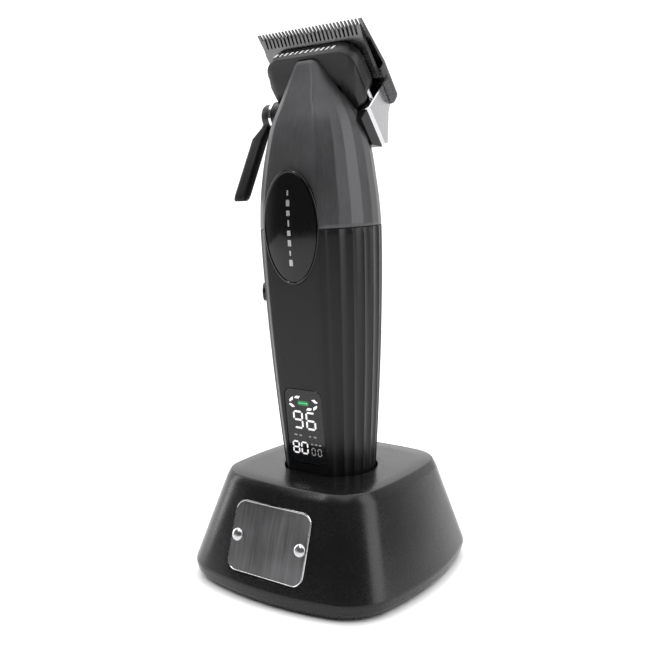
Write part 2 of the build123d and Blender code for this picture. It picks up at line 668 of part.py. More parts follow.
SOCKET_FLOOR = -RUNNING_GAP
CRADLE_WALL = 1.8
CRADLE_FOOT = -3.0
BASE_TOP = 3.2
PLATE_TILT = 17.0
PLATE_CENTRE = (0, -43.6, 21.7)
PLATE_WIDTH = 34.0
PLATE_HEIGHT = 25.9
PLATE_THICK = 1.2
PLATE_SCREW_X = 14.0
plate_plane = Plane(
    origin=PLATE_CENTRE, x_dir=(1, 0, 0),
    z_dir=(0, -cos(radians(PLATE_TILT)), sin(radians(PLATE_TILT))),
)
PLATE_SCREWS = [(-PLATE_SCREW_X, 0), (PLATE_SCREW_X, 0)]
BASE_SCREWS = [(-33, -22), (33, -22), (-33, 22), (33, 22)]
FEET = [(-28, -31), (28, -31), (-28, 31), (28, 31)]
FOOT_RADIUS = 5.5
INLET_HEIGHT = 13.0
PIN_HOUSING_FOOT = -9.4

with BuildPart() as cradle_outline:
    with BuildSketch(body_axis.offset(CRADLE_FOOT)):
        radius = SOCKET_RADIUS + CRADLE_WALL
        flat_circle(radius, 0, -FLAT_SHARE * SOCKET_RADIUS - CRADLE_WALL)
    extrude(amount=30)

with BuildPart() as nameplate_screws:
    rods_on(plate_plane, PLATE_SCREWS, 1.2, (-5, 0))
    rods_on(plate_plane, PLATE_SCREWS, 2.4, (0, 0.5))
    for x, y in PLATE_SCREWS:
        with BuildSketch(plate_plane.offset(0.5)):
            with Locations((x, y)):
                Circle(2.4)
        extrude(amount=0.7, taper=45)

with BuildPart() as dock_nameplate:
    with BuildSketch(plate_plane.offset(-PLATE_THICK)):
        RectangleRounded(PLATE_WIDTH, PLATE_HEIGHT, 4.2)
    extrude(amount=PLATE_THICK)
    rods_on(plate_plane, PLATE_SCREWS, 1.2, (-3, 1), CUT)

with BuildPart() as dock_base_screws:
    rods_on(Plane.XY, BASE_SCREWS, 1.4, (1.6, 9))
    rods_on(Plane.XY, BASE_SCREWS, 2.8, (0.9, 1.6))

with BuildPart() as dock_housing:
    add(dock_solid(DOCK_LEVELS, 0))
    inner = [DOCK_LEVELS[0], DOCK_LEVELS[2], dock_level(DOCK_TOP - DOCK_WALL, 0)]
    add(dock_solid(inner, DOCK_WALL), mode=CUT)
    rods_on(Plane.XY, BASE_SCREWS, 4, (BASE_TOP, 14))
    for x, y in BASE_SCREWS:
        rib = sorted((x, x + 6.2 * x / abs(x)))
        box_on(Plane.XY, rib, (y - 1.2, y + 1.2), (BASE_TOP, 14))
    rods_on(Plane.XY, BASE_SCREWS, 1.4, (BASE_TOP - 1, 9), CUT)
    add(cradle_outline.part, mode=CUT)
    with BuildSketch(plate_plane.offset(-PLATE_THICK)):
        RectangleRounded(PLATE_WIDTH + 0.2, PLATE_HEIGHT + 0.2, 4.3)
    extrude(amount=5, mode=CUT)
    rods_on(plate_plane, PLATE_SCREWS, 1.2, (-6, 0), CUT)
    box_on(Plane.XZ, (-4.6, 4.6), (INLET_HEIGHT - 1.75, INLET_HEIGHT + 1.75), (-55, -30), CUT)

with BuildPart() as dock_cradle:
    add(cradle_outline.part)
    with BuildSketch(body_axis.offset(SOCKET_FLOOR)):
        flat_circle(SOCKET_RADIUS, 0, -FLAT_SHARE * SOCKET_RADIUS)
    extrude(amount=40, mode=CUT)
    rods_on(body_axis, CONTACT_PLACES, 1.1, (-5, 1), CUT)
    split(bisect_by=Plane.XY.offset(DOCK_TOP), keep=Keep.BOTTOM)

with BuildPart() as contact_holder:
    box_on(body_axis, (-9, 9), (-4, 4), (PIN_HOUSING_FOOT, CRADLE_FOOT))
    rods_on(body_axis, CONTACT_PLACES, 1.5, (PIN_HOUSING_FOOT + 0.8, CRADLE_FOOT + 1), CUT)

with BuildPart() as contact_pins:
    rods_on(body_axis, CONTACT_PLACES, 1.0, (-5.2, SOCKET_FLOOR))
    rods_on(body_axis, CONTACT_PLACES, 1.42, (-5.2, CRADLE_FOOT - 0.1))

with BuildPart() as contact_springs:
    for place in CONTACT_PLACES:
        ring_on(body_axis, place, 1.3, 0.8, (PIN_HOUSING_FOOT + 0.8, -5.2))

with BuildPart() as dock_base_plate:
    with BuildSketch(Plane.XY.offset(FOOT_LIFT)):
        dock_outline(*DOCK_LEVELS[0][1:], DOCK_WALL + 0.2)
    extrude(amount=BASE_TOP - FOOT_LIFT)
    rods_on(Plane.XY, FEET, FOOT_RADIUS, (0, 2), CUT)
    add(dock_base_screws.part, mode=CUT)
    rods_on(Plane.XY, [(-15, 12), (15, 12), (-15, 34), (15, 34)], 2.2, (BASE_TOP, 8))

with BuildPart() as dock_feet:
    rods_on(Plane.XY, FEET, FOOT_RADIUS, (0, 2))

with BuildPart() as dock_ballast:
    box_on(Plane.XY, (-25, 25), (-34, 6), (BASE_TOP, 11))

with BuildPart() as dock_pcb:
    box_on(Plane.XY, (-18, 18), (9, 37), (8, 9.6))
    box_on(Plane.XY, (-8, 2), (14, 22), (9.6, 11))
    rods_on(Plane.XY, [(10, 16)], 3, (9.6, 15))

with BuildPart() as dock_power_socket:
    box_on(Plane.XZ, (-4.5, 4.5), (INLET_HEIGHT - 1.65, INLET_HEIGHT + 1.65), (-44.2, -36))
    box_on(Plane.XZ, (-4.1, 4.1), (INLET_HEIGHT - 1.25, INLET_HEIGHT + 1.25), (-50, -37), CUT)
    box_on(Plane.XZ, (-3.2, 3.2), (INLET_HEIGHT - 0.35, INLET_HEIGHT + 0.35), (-42.6, -37))
    box_on(Plane.XZ, (-4.5, 4.5), (9.6, INLET_HEIGHT - 1.65), (-36.9, -33))
    box_on(Plane.XZ, (-4.5, 4.5), (INLET_HEIGHT - 1.65, INLET_HEIGHT + 1.65), (-37, -33))

PIECES = {
    "upper_shell": upper_shell, "lower_shell": lower_shell, "bottom_cap": bottom_cap,
    "charge_contacts": charge_contacts, "oval_badge": oval_badge,
    "display_window": display_window, "display_module": display_module,
    "power_button": power_button, "tact_switch": tact_switch,
    "chassis": chassis, "battery_cell": battery_cell, "battery_tabs": battery_tabs,
    "main_board": main_board, "motor_can": motor_can, "motor_magnets": motor_magnets,
    "motor_end_cap": motor_end_cap, "motor_bushes": motor_bushes,
    "motor_brushes": motor_brushes, "motor_mount": motor_mount,
    "motor_mount_screws": motor_mount_screws, "rotor_shaft": rotor_shaft,
    "rotor_core": rotor_core, "commutator": commutator, "eccentric_cam": eccentric_cam,
    "head_block": head_block, "head_screws": head_screws, "heel_bracket": heel_bracket,
    "heel_block": heel_block, "comb_blade": comb_blade, "comb_screws": comb_screws,
    "comb_slide": comb_slide, "cutter_blade": cutter_blade, "yoke_screws": yoke_screws,
    "drive_yoke": drive_yoke, "tension_spring": tension_spring,
    "taper_lever": taper_lever, "lever_shaft": lever_shaft, "lever_screw": lever_screw,
    "lever_washer": lever_washer, "dock_housing": dock_housing, "dock_cradle": dock_cradle,
    "contact_holder": contact_holder, "contact_pins": contact_pins,
    "contact_springs": contact_springs, "dock_base_plate": dock_base_plate,
    "dock_base_screws": dock_base_screws, "dock_feet": dock_feet,
    "dock_ballast": dock_ballast, "dock_pcb": dock_pcb,
    "dock_power_socket": dock_power_socket, "dock_nameplate": dock_nameplate,
    "nameplate_screws": nameplate_screws,
}

for node, piece in PIECES.items():
    save(piece, node)
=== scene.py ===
import json
from math import asin, atan2, cos, pi, radians, sin, sqrt

import bmesh
import bpy
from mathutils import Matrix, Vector

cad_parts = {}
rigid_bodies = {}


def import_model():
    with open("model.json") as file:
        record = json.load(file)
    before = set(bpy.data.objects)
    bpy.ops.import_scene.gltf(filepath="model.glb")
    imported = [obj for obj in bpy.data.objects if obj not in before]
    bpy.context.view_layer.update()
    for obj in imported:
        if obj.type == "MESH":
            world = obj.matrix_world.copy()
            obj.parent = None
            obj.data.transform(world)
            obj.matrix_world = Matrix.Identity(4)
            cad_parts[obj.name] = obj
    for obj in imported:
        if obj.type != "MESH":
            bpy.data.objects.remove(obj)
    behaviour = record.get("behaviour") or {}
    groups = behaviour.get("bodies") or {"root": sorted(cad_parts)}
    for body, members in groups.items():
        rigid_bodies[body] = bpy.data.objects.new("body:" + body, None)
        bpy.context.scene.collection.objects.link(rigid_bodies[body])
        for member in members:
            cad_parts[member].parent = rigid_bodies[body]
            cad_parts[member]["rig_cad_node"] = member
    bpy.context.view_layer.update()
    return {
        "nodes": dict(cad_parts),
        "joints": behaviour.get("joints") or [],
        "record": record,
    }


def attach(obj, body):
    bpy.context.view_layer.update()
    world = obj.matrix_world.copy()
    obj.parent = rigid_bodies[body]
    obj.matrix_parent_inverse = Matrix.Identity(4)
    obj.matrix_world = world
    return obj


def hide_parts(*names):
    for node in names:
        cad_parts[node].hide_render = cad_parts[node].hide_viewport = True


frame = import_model()
nodes = frame["nodes"]
joints = {joint["name"]: joint for joint in frame["joints"]}
MM = 0.001

# ---- frames that the pieces are built in -------------------------------------------------------
# Body coordinates: across, back and up along the leaning clipper. Blade coordinates: across,
# from the tooth tips towards the heel, and out of the blade's back. All in millimetres.
UP = Vector(joints["clipper_lift"]["axis"]).normalized()
ACROSS = Vector((1, 0, 0))
BACK = UP.cross(ACROSS)
FOOT = Vector((0, -1.06, 28))
HEEL_WARD = Vector(joints["comb_adjust"]["axis"]).normalized()
OUTWARD = ACROSS.cross(HEEL_WARD)
TIP = Vector((0, -18.5, 205.7))


def on_body(x, back, up):
    return (FOOT + ACROSS * x + BACK * back + UP * up) * MM


def on_blade(x, heel, out):
    return (TIP + ACROSS * x + HEEL_WARD * heel + OUTWARD * out) * MM


def in_dock(x, y, z):
    return Vector((x, y, z)) * MM


# ---- mesh helpers ------------------------------------------------------------------------------
def make_object(name, points, faces, body, smooth=40):
    """A mesh object that rides on a body, with edges sharper than `smooth` degrees kept sharp."""
    mesh = bpy.data.meshes.new(name)
    mesh.from_pydata([tuple(p) for p in points], [], faces)
    piece = bpy.data.objects.new(name, mesh)
    bpy.context.scene.collection.objects.link(piece)
    tidy_mesh(piece, smooth)
    if body:
        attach(piece, body)
    return piece


def tidy_mesh(piece, smooth):
    """Faces point outwards, doubles are merged, and soft edges are shaded smooth."""
    work = bmesh.new()
    work.from_mesh(piece.data)
    bmesh.ops.remove_doubles(work, verts=work.verts, dist=1e-7)
    bmesh.ops.recalc_face_normals(work, faces=work.faces)
    for face in work.faces:
        face.smooth = True
    for edge in work.edges:
        if len(edge.link_faces) == 2:
            edge.smooth = edge.calc_face_angle(0) < radians(smooth)
    work.to_mesh(piece.data)
    work.free()


def skin(rings, wrap=False, capped=True):
    """Points and faces through rings of equal length; wrap joins the last ring to the first."""
    count = len(rings[0])
    points = [p for ring in rings for p in ring]
    faces = []
    spans = len(rings) if wrap else len(rings) - 1
    for r in range(spans):
        here = r * count
        there = ((r + 1) % len(rings)) * count
        for i in range(count):
            j = (i + 1) % count
            faces.append((here + i, here + j, there + j, there + i))
    if capped and not wrap:
        faces.append(tuple(range(count))[::-1])
        last = (len(rings) - 1) * count
        faces.append(tuple(range(last, last + count)))
    return points, faces


def apply_modifiers(piece, smooth=40):
    bpy.context.view_layer.update()
    graph = bpy.context.evaluated_depsgraph_get()
    mesh = bpy.data.meshes.new_from_object(piece.evaluated_get(graph))
    piece.modifiers.clear()
    piece.data = mesh
    tidy_mesh(piece, smooth)


def carve(piece, cutters, smooth=40, operation="DIFFERENCE"):
    """Cuts closed meshes out of a piece, or joins them to it, and removes them."""
    for cutter in cutters:
        cut = piece.modifiers.new("cut", "BOOLEAN")
        cut.operation = operation
        cut.solver = "EXACT"
        cut.object = cutter
    apply_modifiers(piece, smooth)
    for cutter in cutters:
        bpy.data.objects.remove(cutter)


def rounded_rectangle(half_x, half_y, radius, steps=6, middle=(0, 0)):
    """Points round a rectangle with round corners."""
    points = []
    corners = ((1, 1, 0), (-1, 1, 90), (-1, -1, 180), (1, -1, 270))
    for sx, sy, start in corners:
        for i in range(steps + 1):
            turn = radians(start + 90 * i / steps)
            x = middle[0] + sx * (half_x - radius) + radius * cos(turn)
            y = middle[1] + sy * (half_y - radius) + radius * sin(turn)
            points.append((x, y))
    return points


def circle(radius, steps=32, middle=(0, 0)):
    turns = [2 * pi * i / steps for i in range(steps)]
    return [(middle[0] + radius * cos(t), middle[1] + radius * sin(t)) for t in turns]


def ease(t):
    t = min(1.0, max(0.0, t))
    return t * t * (3 - 2 * t)


# ---- materials ---------------------------------------------------------------------------------
def surface(
    name, colour, roughness, metallic=0.0, spread=0.15, grain=900.0, bump=0.05,
    coat=0.0, brushed=None, rough_spread=0.06, large=60.0, specular=0.5,
):
    """A Principled material with its colour, roughness and relief varied by noise.

    brushed stretches the fine noise: it is the scale along X, Y and Z."""
    material = bpy.data.materials.new(name)
    material.use_nodes = True
    tree = material.node_tree
    link = tree.links.new
    shader = tree.nodes["Principled BSDF"]
    shader.inputs["Metallic"].default_value = metallic
    shader.inputs["Specular IOR Level"].default_value = specular
    if coat:
        shader.inputs["Coat Weight"].default_value = coat
        shader.inputs["Coat Roughness"].default_value = 0.08
    where = tree.nodes.new("ShaderNodeTexCoord")
    stretch = tree.nodes.new("ShaderNodeMapping")
    stretch.inputs["Scale"].default_value = brushed or (1, 1, 1)
    link(where.outputs["Object"], stretch.inputs["Vector"])
    fine = tree.nodes.new("ShaderNodeTexNoise")
    fine.inputs["Scale"].default_value = grain
    fine.inputs["Detail"].default_value = 6
    link(stretch.outputs["Vector"], fine.inputs["Vector"])
    broad = tree.nodes.new("ShaderNodeTexNoise")
    broad.inputs["Scale"].default_value = large
    broad.inputs["Detail"].default_value = 3
    link(where.outputs["Object"], broad.inputs["Vector"])
    mixed = tree.nodes.new("ShaderNodeMath")
    mixed.operation = "MULTIPLY_ADD"
    mixed.inputs[1].default_value = 0.5
    link(fine.outputs["Fac"], mixed.inputs[0])
    half = tree.nodes.new("ShaderNodeMath")
    half.operation = "MULTIPLY"
    half.inputs[1].default_value = 0.5
    link(broad.outputs["Fac"], half.inputs[0])
    link(half.outputs[0], mixed.inputs[2])
    shades = tree.nodes.new("ShaderNodeValToRGB")
    shades.color_ramp.elements[0].position = 0.3
    shades.color_ramp.elements[1].position = 0.7
    shades.color_ramp.elements[0].color = (*[c * (1 - spread) for c in colour], 1)
    shades.color_ramp.elements[1].color = (*[c * (1 + spread) for c in colour], 1)
    link(mixed.outputs[0], shades.inputs["Fac"])
    link(shades.outputs["Color"], shader.inputs["Base Color"])
    gloss = tree.nodes.new("ShaderNodeMapRange")
    gloss.inputs["From Min"].default_value = 0.3
    gloss.inputs["From Max"].default_value = 0.7
    gloss.inputs["To Min"].default_value = max(0.02, roughness - rough_spread)
    gloss.inputs["To Max"].default_value = roughness + rough_spread
    link(mixed.outputs[0], gloss.inputs["Value"])
    link(gloss.outputs["Result"], shader.inputs["Roughness"])
    relief = tree.nodes.new("ShaderNodeBump")
    relief.inputs["Strength"].default_value = bump
    relief.inputs["Distance"].default_value = 0.0002
    link(fine.outputs["Fac"], relief.inputs["Height"])
    link(relief.outputs["Normal"], shader.inputs["Normal"])
    return material


def glowing(name, colour, strength):
    """A lit display segment, its brightness a little uneven."""
    material = surface(name, colour, 0.4, spread=0.1, bump=0)
    shader = material.node_tree.nodes["Principled BSDF"]
    shades = material.node_tree.nodes["Color Ramp"]
    material.node_tree.links.new(shades.outputs["Color"], shader.inputs["Emission Color"])
    shader.inputs["Emission Strength"].default_value = strength
    return material


LOOKS = {
    "satin_black_plastic": surface(
        "satin_black", (0.006, 0.006, 0.0065), 0.26, bump=0.01, specular=0.33),
    "gunmetal_shell": surface(
        "gunmetal", (0.066, 0.066, 0.069), 0.40, metallic=0.6, bump=0.05, brushed=(1, 1, 0.25),
        specular=0.35),
    "black_shell": surface(
        "black_anodised", (0.007, 0.007, 0.0075), 0.32, bump=0.05, specular=0.24,
        brushed=(1, 1, 0.25)),
    "gloss_black": surface("gloss_black", (0.004, 0.004, 0.004), 0.10, bump=0.01, specular=0.35),
    "display_glass": surface("smoked_glass", (0.010, 0.011, 0.012), 0.12, bump=0.0, specular=0.35),
    "head_black": surface(
        "head_black", (0.006, 0.006, 0.0065), 0.36, bump=0.06, specular=0.32),
    "chrome": surface("chrome", (0.74, 0.74, 0.75), 0.12, metallic=1.0, spread=0.04, bump=0.01),
    "blade_steel": surface(
        "ground_steel", (0.14, 0.14, 0.143), 0.28, metallic=1.0, bump=0.12, grain=500,
        brushed=(0.15, 3, 3)),
    "dark_steel": surface(
        "dark_brushed_steel", (0.20, 0.20, 0.205), 0.34, metallic=1.0, spread=0.35, bump=0.2,
        grain=1400, brushed=(1, 0.04, 0.04)),
    "steel_hardware": surface("plain_steel", (0.5, 0.5, 0.51), 0.3, metallic=1.0),
    "copper_brass": surface("gold_plate", (0.7, 0.48, 0.2), 0.25, metallic=1.0),
    "rubber_black": surface("rubber", (0.015, 0.015, 0.015), 0.8, bump=0.3),
    "board_green": surface("solder_mask", (0.02, 0.12, 0.05), 0.4, spread=0.3),
    "battery_wrap": surface("battery_wrap", (0.03, 0.1, 0.3), 0.3),
    "inner_plastic": surface("inner_plastic", (0.05, 0.05, 0.055), 0.5, bump=0.15),
    "magnet": surface("magnet", (0.03, 0.03, 0.033), 0.6, bump=0.3),
    "ballast_steel": surface("ballast_steel", (0.16, 0.16, 0.16), 0.55, metallic=0.8, bump=0.4),
}

LOOKS["print_white"] = surface("printed_white", (0.75, 0.75, 0.75), 0.5, bump=0.0, spread=0.08)
LOOKS["print_silver"] = surface(
    "printed_silver", (0.42, 0.42, 0.43), 0.35, metallic=0.6, bump=0.0, spread=0.1)
LOOKS["chrome_satin"] = surface(
    "chrome_satin", (0.52, 0.52, 0.53), 0.24, metallic=1.0, spread=0.06, bump=0.004)
# blade_dark: a darker steel used as painted shade in the blades' tooth gaps; the comb's back faces
# take it too.
LOOKS["blade_dark"] = surface(
    "blade_dark", (0.05, 0.05, 0.052), 0.35, metallic=0.9, spread=0.2, bump=0.05)
LOOKS["rim_steel"] = surface("rim_steel", (0.55, 0.55, 0.56), 0.2, metallic=1.0, spread=0.1)
LOOKS["lit_white"] = glowing("lit_white", (0.62, 0.60, 0.62), 0.95)
LOOKS["lit_grey"] = glowing("lit_grey", (0.16, 0.16, 0.16), 0.8)
LOOKS["lit_green"] = glowing("lit_green", (0.01, 0.10, 0.03), 0.9)
LOOKS["lit_mint"] = glowing("lit_mint", (0.06, 0.42, 0.16), 1.0)

slot_of = {s["node"]: s["material_slot"] for s in frame["record"]["subparts"]}


def dress(piece, slot, look=None):
    """Gives a piece its material: the look passed in, or else the one for the record's slot."""
    piece.data.materials.clear()
    piece.data.materials.append(look or LOOKS[slot])
    return piece


for name, node in nodes.items():
    dress(node, slot_of[name])

# ---- the clipper's barrel ----------------------------------------------------------------------
SEAM = 107.3
WALL = 2.0
MAX_RADIUS = 23.0
FOOT_TAPER = 6.3
RIDGE = radians(31)          # how far round the barrel the flat front reaches
FLUTES = 22
FLUTE_STEPS = 10
FLUTE_START = 0.016
RIDGE_ROUND = 0.35


def lower_radius(up):
    """The lower shell's radius: widest at the seam, and tapering faster towards the foot."""
    return MAX_RADIUS - FOOT_TAPER * (max(0.0, SEAM - up) / SEAM) ** 1.6


# (height, radius, the circle's centre towards the back, the flat front)
UPPER_LEVELS = [
    (SEAM, 23.0, 0.0, -19.7),
    (116.0, 22.5, 0.0, -19.2),
    (124.0, 21.6, 0.1, -18.4),
    (134.5, 20.0, 0.6, -16.7),
    (144.8, 17.4, 0.8, -14.4),
    (152.3, 13.8, 0.6, -11.7),
    (159.5, 10.2, 0.0, -9.0),
    (167.0, 6.4, -0.8, -6.5),
]


def upper_section(up):
    """Radius, centre and flat at a height on the upper shell, on a smooth curve through its levels."""
    k = max(i for i, level in enumerate(UPPER_LEVELS[:-1]) if up >= level[0] or i == 0)
    a = UPPER_LEVELS[max(0, k - 1)]
    b, c = UPPER_LEVELS[k], UPPER_LEVELS[k + 1]
    d = UPPER_LEVELS[min(len(UPPER_LEVELS) - 1, k + 2)]
    t = (up - b[0]) / (c[0] - b[0])
    values = []
    for p, q, r, s in zip(a[1:], b[1:], c[1:], d[1:]):
        slope_q = (r - p) / max(1e-9, c[0] - a[0])
        slope_r = (s - q) / max(1e-9, d[0] - b[0])
        span = c[0] - b[0]
        values.append(
            q * (1 + 2 * t) * (1 - t) ** 2 + r * t * t * (3 - 2 * t)
            + span * (slope_q * t * (1 - t) ** 2 - slope_r * t * t * (1 - t))
        )
    return values


def barrel_ring(up, section, depth, inset=0.0):
    """One ring of the barrel: the flat front, a softened ridge, and flutes round the back."""
    radius, centre, flat = section
    radius -= inset
    flat += inset
    reach = centre - flat
    half = sqrt(max(0.01, radius ** 2 - reach ** 2))
    ridge = atan2(half, reach)
    side = []
    for i in range(5):
        side.append((half - RIDGE_ROUND - (half - RIDGE_ROUND) * (1 - i / 4), flat))
    corner = ridge + RIDGE_ROUND / radius
    middle_x = (half - RIDGE_ROUND + radius * sin(corner)) / 2
    middle_y = (flat + centre - radius * cos(corner)) / 2
    side.append((middle_x + 0.05, middle_y - 0.05))
    first = ridge + max(RIDGE_ROUND / radius, FLUTE_START * 2 * pi)
    side.append((radius * sin(corner), centre - radius * cos(corner)))
    per_side = FLUTES // 2
    for f in range(per_side):
        for i in range(FLUTE_STEPS):
            t = i / FLUTE_STEPS
            turn = first + (pi - first) * (f + t) / per_side
            r = radius - depth * sin(pi * t) ** 0.75
            side.append((r * sin(turn), centre - r * cos(turn)))
    back = (0.0, centre + radius)
    left = [(-x, y) for x, y in reversed(side[1:])]
    return [on_body(x, y, up) for x, y in side + [back] + left]


def heights(low, high, step):
    count = max(1, round((high - low) / step))
    return [low + (high - low) * i / count for i in range(count + 1)]


def barrel(name, node, levels, section_at, depth_at, body, cutters):
    """A hollow shell: the fluted outside, and a plain inside a wall's thickness in."""
    outside = [barrel_ring(up, section_at(up), depth_at(up)) for up in levels]
    lip = 0.25
    outside.insert(0, barrel_ring(levels[0], section_at(levels[0]), depth_at(levels[0]), lip))
    outside[1] = barrel_ring(levels[0] + lip, section_at(levels[0] + lip), depth_at(levels[0]))
    outside[-1] = barrel_ring(levels[-1] - lip, section_at(levels[-1] - lip), depth_at(levels[-1]))
    outside.append(barrel_ring(levels[-1], section_at(levels[-1]), depth_at(levels[-1]), lip))
    inside = [barrel_ring(up, section_at(up), 0, WALL) for up in reversed(levels)]
    piece = make_object(name, *skin(outside + inside, wrap=True), body, smooth=50)
    if cutters:
        carve(piece, cutters, smooth=50)
    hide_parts(node)
    return dress(piece, slot_of[node])


def lower_section(up):
    radius = lower_radius(up)
    return radius, 0.0, -cos(RIDGE) * radius


# ---- camera and light --------------------------------------------------------------------------
CAMERA_PLACE = (0.16848, -0.25944, 0.13098)
CAMERA_WARD = (-0.5511, 0.8270, -0.1116)
CAMERA_LENS = 43.66
BACKDROP_WARD = (-0.5511, 0.8270, 0.0)
ROOM_DARK = 0.10
ROOM_BRIGHT = 1.35
FLOOR_HALF = 0.7


def add_camera():
    data = bpy.data.cameras.new("camera")
    data.sensor_width = 36
    data.lens = CAMERA_LENS
    camera = bpy.data.objects.new("camera", data)
    camera.location = CAMERA_PLACE
    camera.rotation_euler = Vector(CAMERA_WARD).to_track_quat("-Z", "Y").to_euler()
    bpy.context.scene.collection.objects.link(camera)
    bpy.context.scene.camera = camera


def area_light(name, azimuth, elevation, distance, size, power, aim=(0, 0, 0.11)):
    """A softbox at an angle round the object, facing it; azimuth 0 is in front of it."""
    data = bpy.data.lights.new(name, "AREA")
    data.shape = "RECTANGLE"
    data.size, data.size_y = size
    data.energy = power
    a, e = radians(azimuth), radians(elevation)
    away = Vector((sin(a) * cos(e), -cos(a) * cos(e), sin(e)))
    light = bpy.data.objects.new(name, data)
    light.location = Vector(aim) + away * distance
    light.rotation_euler = (-away).to_track_quat("-Z", "Y").to_euler()
    bpy.context.scene.collection.objects.link(light)
    return light


def add_world():
    """A white room behind the object that darkens towards the viewer; its backdrop stays white."""
    world = bpy.data.worlds.new("studio")
    bpy.context.scene.world = world
    world.use_nodes = True
    tree = world.node_tree
    link = tree.links.new
    where = tree.nodes.new("ShaderNodeTexCoord")
    facing = tree.nodes.new("ShaderNodeVectorMath")
    facing.operation = "DOT_PRODUCT"
    facing.inputs[1].default_value = BACKDROP_WARD
    link(where.outputs["Generated"], facing.inputs[0])
    fade = tree.nodes.new("ShaderNodeMapRange")
    fade.interpolation_type = "SMOOTHSTEP"
    fade.inputs["From Min"].default_value = -0.2
    fade.inputs["From Max"].default_value = 0.75
    fade.inputs["To Min"].default_value = ROOM_DARK
    fade.inputs["To Max"].default_value = ROOM_BRIGHT
    link(facing.outputs["Value"], fade.inputs["Value"])
    seen = tree.nodes.new("ShaderNodeLightPath")
    either = tree.nodes.new("ShaderNodeMath")
    either.operation = "MAXIMUM"
    link(fade.outputs["Result"], either.inputs[0])
    link(seen.outputs["Is Camera Ray"], either.inputs[1])
    link(either.outputs["Value"], tree.nodes["Background"].inputs["Strength"])
    tree.nodes["Background"].inputs["Color"].default_value = (1, 1, 1, 1)


def add_studio():
    """The room, a pale floor, and four softboxes: right, left, overhead and a strip for the corner."""
    add_world()
    mesh = bpy.data.meshes.new("floor")
    low, high = -FLOOR_HALF, FLOOR_HALF
    mesh.from_pydata(
        [(low, low, 0), (high, low, 0), (high, high, 0), (low, high, 0)], [], [(0, 1, 2, 3)])
    floor = bpy.data.objects.new("floor", mesh)
    floor.data.materials.append(
        surface("pale_floor", (0.93, 0.93, 0.93), 0.6, spread=0.01, bump=0.02, large=4, grain=40))
    bpy.context.scene.collection.objects.link(floor)
    bpy.context.scene.view_settings.view_transform = "Standard"
    area_light("key_right", 100, 20, 0.9, (0.5, 0.9), 5)
    area_light("left_strip", -75, 12, 0.8, (0.2, 0.8), 2)
    area_light("top", 0, 88, 1.0, (1.6, 1.6), 20)
    area_light("corner_strip", -22, 40, 0.8, (0.05, 0.3), 0.9)


add_camera()
add_studio()

# ---- planes lying on the object's surfaces -----------------------------------------------------
def plane_on(origin, across, up):
    """A place function (a, b, c): across, up and out of a plane, in millimetres from its origin."""
    across = across.normalized()
    up = (up - across * up.dot(across)).normalized()
    out = across.cross(up)

    def place(a, b, c):
        return origin + (across * a + up * b + out * c) * MM

    return place


def flat_at(up):
    return -cos(RIDGE) * lower_radius(up)


def front_plane(up):
    """A plane on the flat front; its second direction runs up the clipper."""
    rise = on_body(0, flat_at(up + 1), up + 1) - on_body(0, flat_at(up - 1), up - 1)
    return plane_on(on_body(0, flat_at(up), up), ACROSS, rise)


BADGE_HALF_WIDTH = 12.2
BADGE_HALF_HEIGHT = 20.7
BADGE_DEPTH = 1.2
BADGE_RAISE = 1.5
on_seam = front_plane(SEAM - 1)


def on_badge(a, b, c):
    return on_seam(a, b + BADGE_RAISE, c)


DISPLAY_FOOT = 17.5
DISPLAY_HEAD = 47.6
DISPLAY_HALF = 8.6
DISPLAY_HALF_HEIGHT = (DISPLAY_HEAD - DISPLAY_FOOT) / 2
DISPLAY_DEPTH = 1.2
on_display = front_plane((DISPLAY_FOOT + DISPLAY_HEAD) / 2)
BUTTON_UP = 82.8
BUTTON_TURN = radians(62)
BUTTON_RADIUS = 3.6
button_reach = lower_radius(BUTTON_UP)
button_foot = on_body(-sin(BUTTON_TURN) * button_reach, -cos(BUTTON_TURN) * button_reach, BUTTON_UP)
button_side = (on_body(-cos(BUTTON_TURN), sin(BUTTON_TURN), 0) - on_body(0, 0, 0)).normalized()
on_button = plane_on(button_foot, -button_side, UP)


def ellipse(half_x, half_y, steps=96):
    turns = [2 * pi * i / steps for i in range(steps)]
    return [(half_x * cos(t), half_y * sin(t)) for t in turns]


def stack(name, layers, place, body, smooth=35, capped=True):
    """A piece through outlines at heights: layers are (outline, height), closed at both ends."""
    rings = [[place(a, b, height) for a, b in outline] for outline, height in layers]
    return make_object(name, *skin(rings, capped=capped), body, smooth)


def joined(name, pieces, body, smooth=35):
    """One object from several, which are removed."""
    points, faces = [], []
    for piece in pieces:
        start = len(points)
        points += [tuple(v.co) for v in piece.data.vertices]
        faces += [tuple(start + i for i in face.vertices) for face in piece.data.polygons]
        bpy.data.objects.remove(piece)
    return make_object(name, points, faces, body, smooth)


def cutter_stack(outline, low, high, place):
    return stack("cutter", [(outline, low), (outline, high)], place, None)


def revolve(name, profile, place, body, steps=48, middle=(0, 0), smooth=35):
    """A turned piece: profile is (radius, height) pairs; ends on the axis are closed by a face."""
    layers = [(circle(max(r, 0.02), steps, middle), h) for r, h in profile]
    return stack(name, layers, place, body, smooth)


# ---- the two shells ----------------------------------------------------------------------------
HEAD_LIP = -8.8
HEEL_FLOOR = -12.9
DECK_THICK = 1.6
HEEL_START = 28.0
NECK_LEVELS = [(HEAD_LIP, 19.0, 8.6, 27.9), (-11.0, 18.6, 12.5, 27.9), (-12.9, 17.0, 18.5, 27.9)]
LEVER_PIVOT = (24.9, -16.3)
BOSS_RADIUS = 5.2
BOSS_SPAN = (-16.9, -12.4)
LEVER_CLEARANCE = 5.9


def blade_rectangle(half, front, back, corner, steps=6):
    outline = rounded_rectangle(half, (back - front) / 2, corner, steps)
    return [(x, y + (front + back) / 2) for x, y in outline]


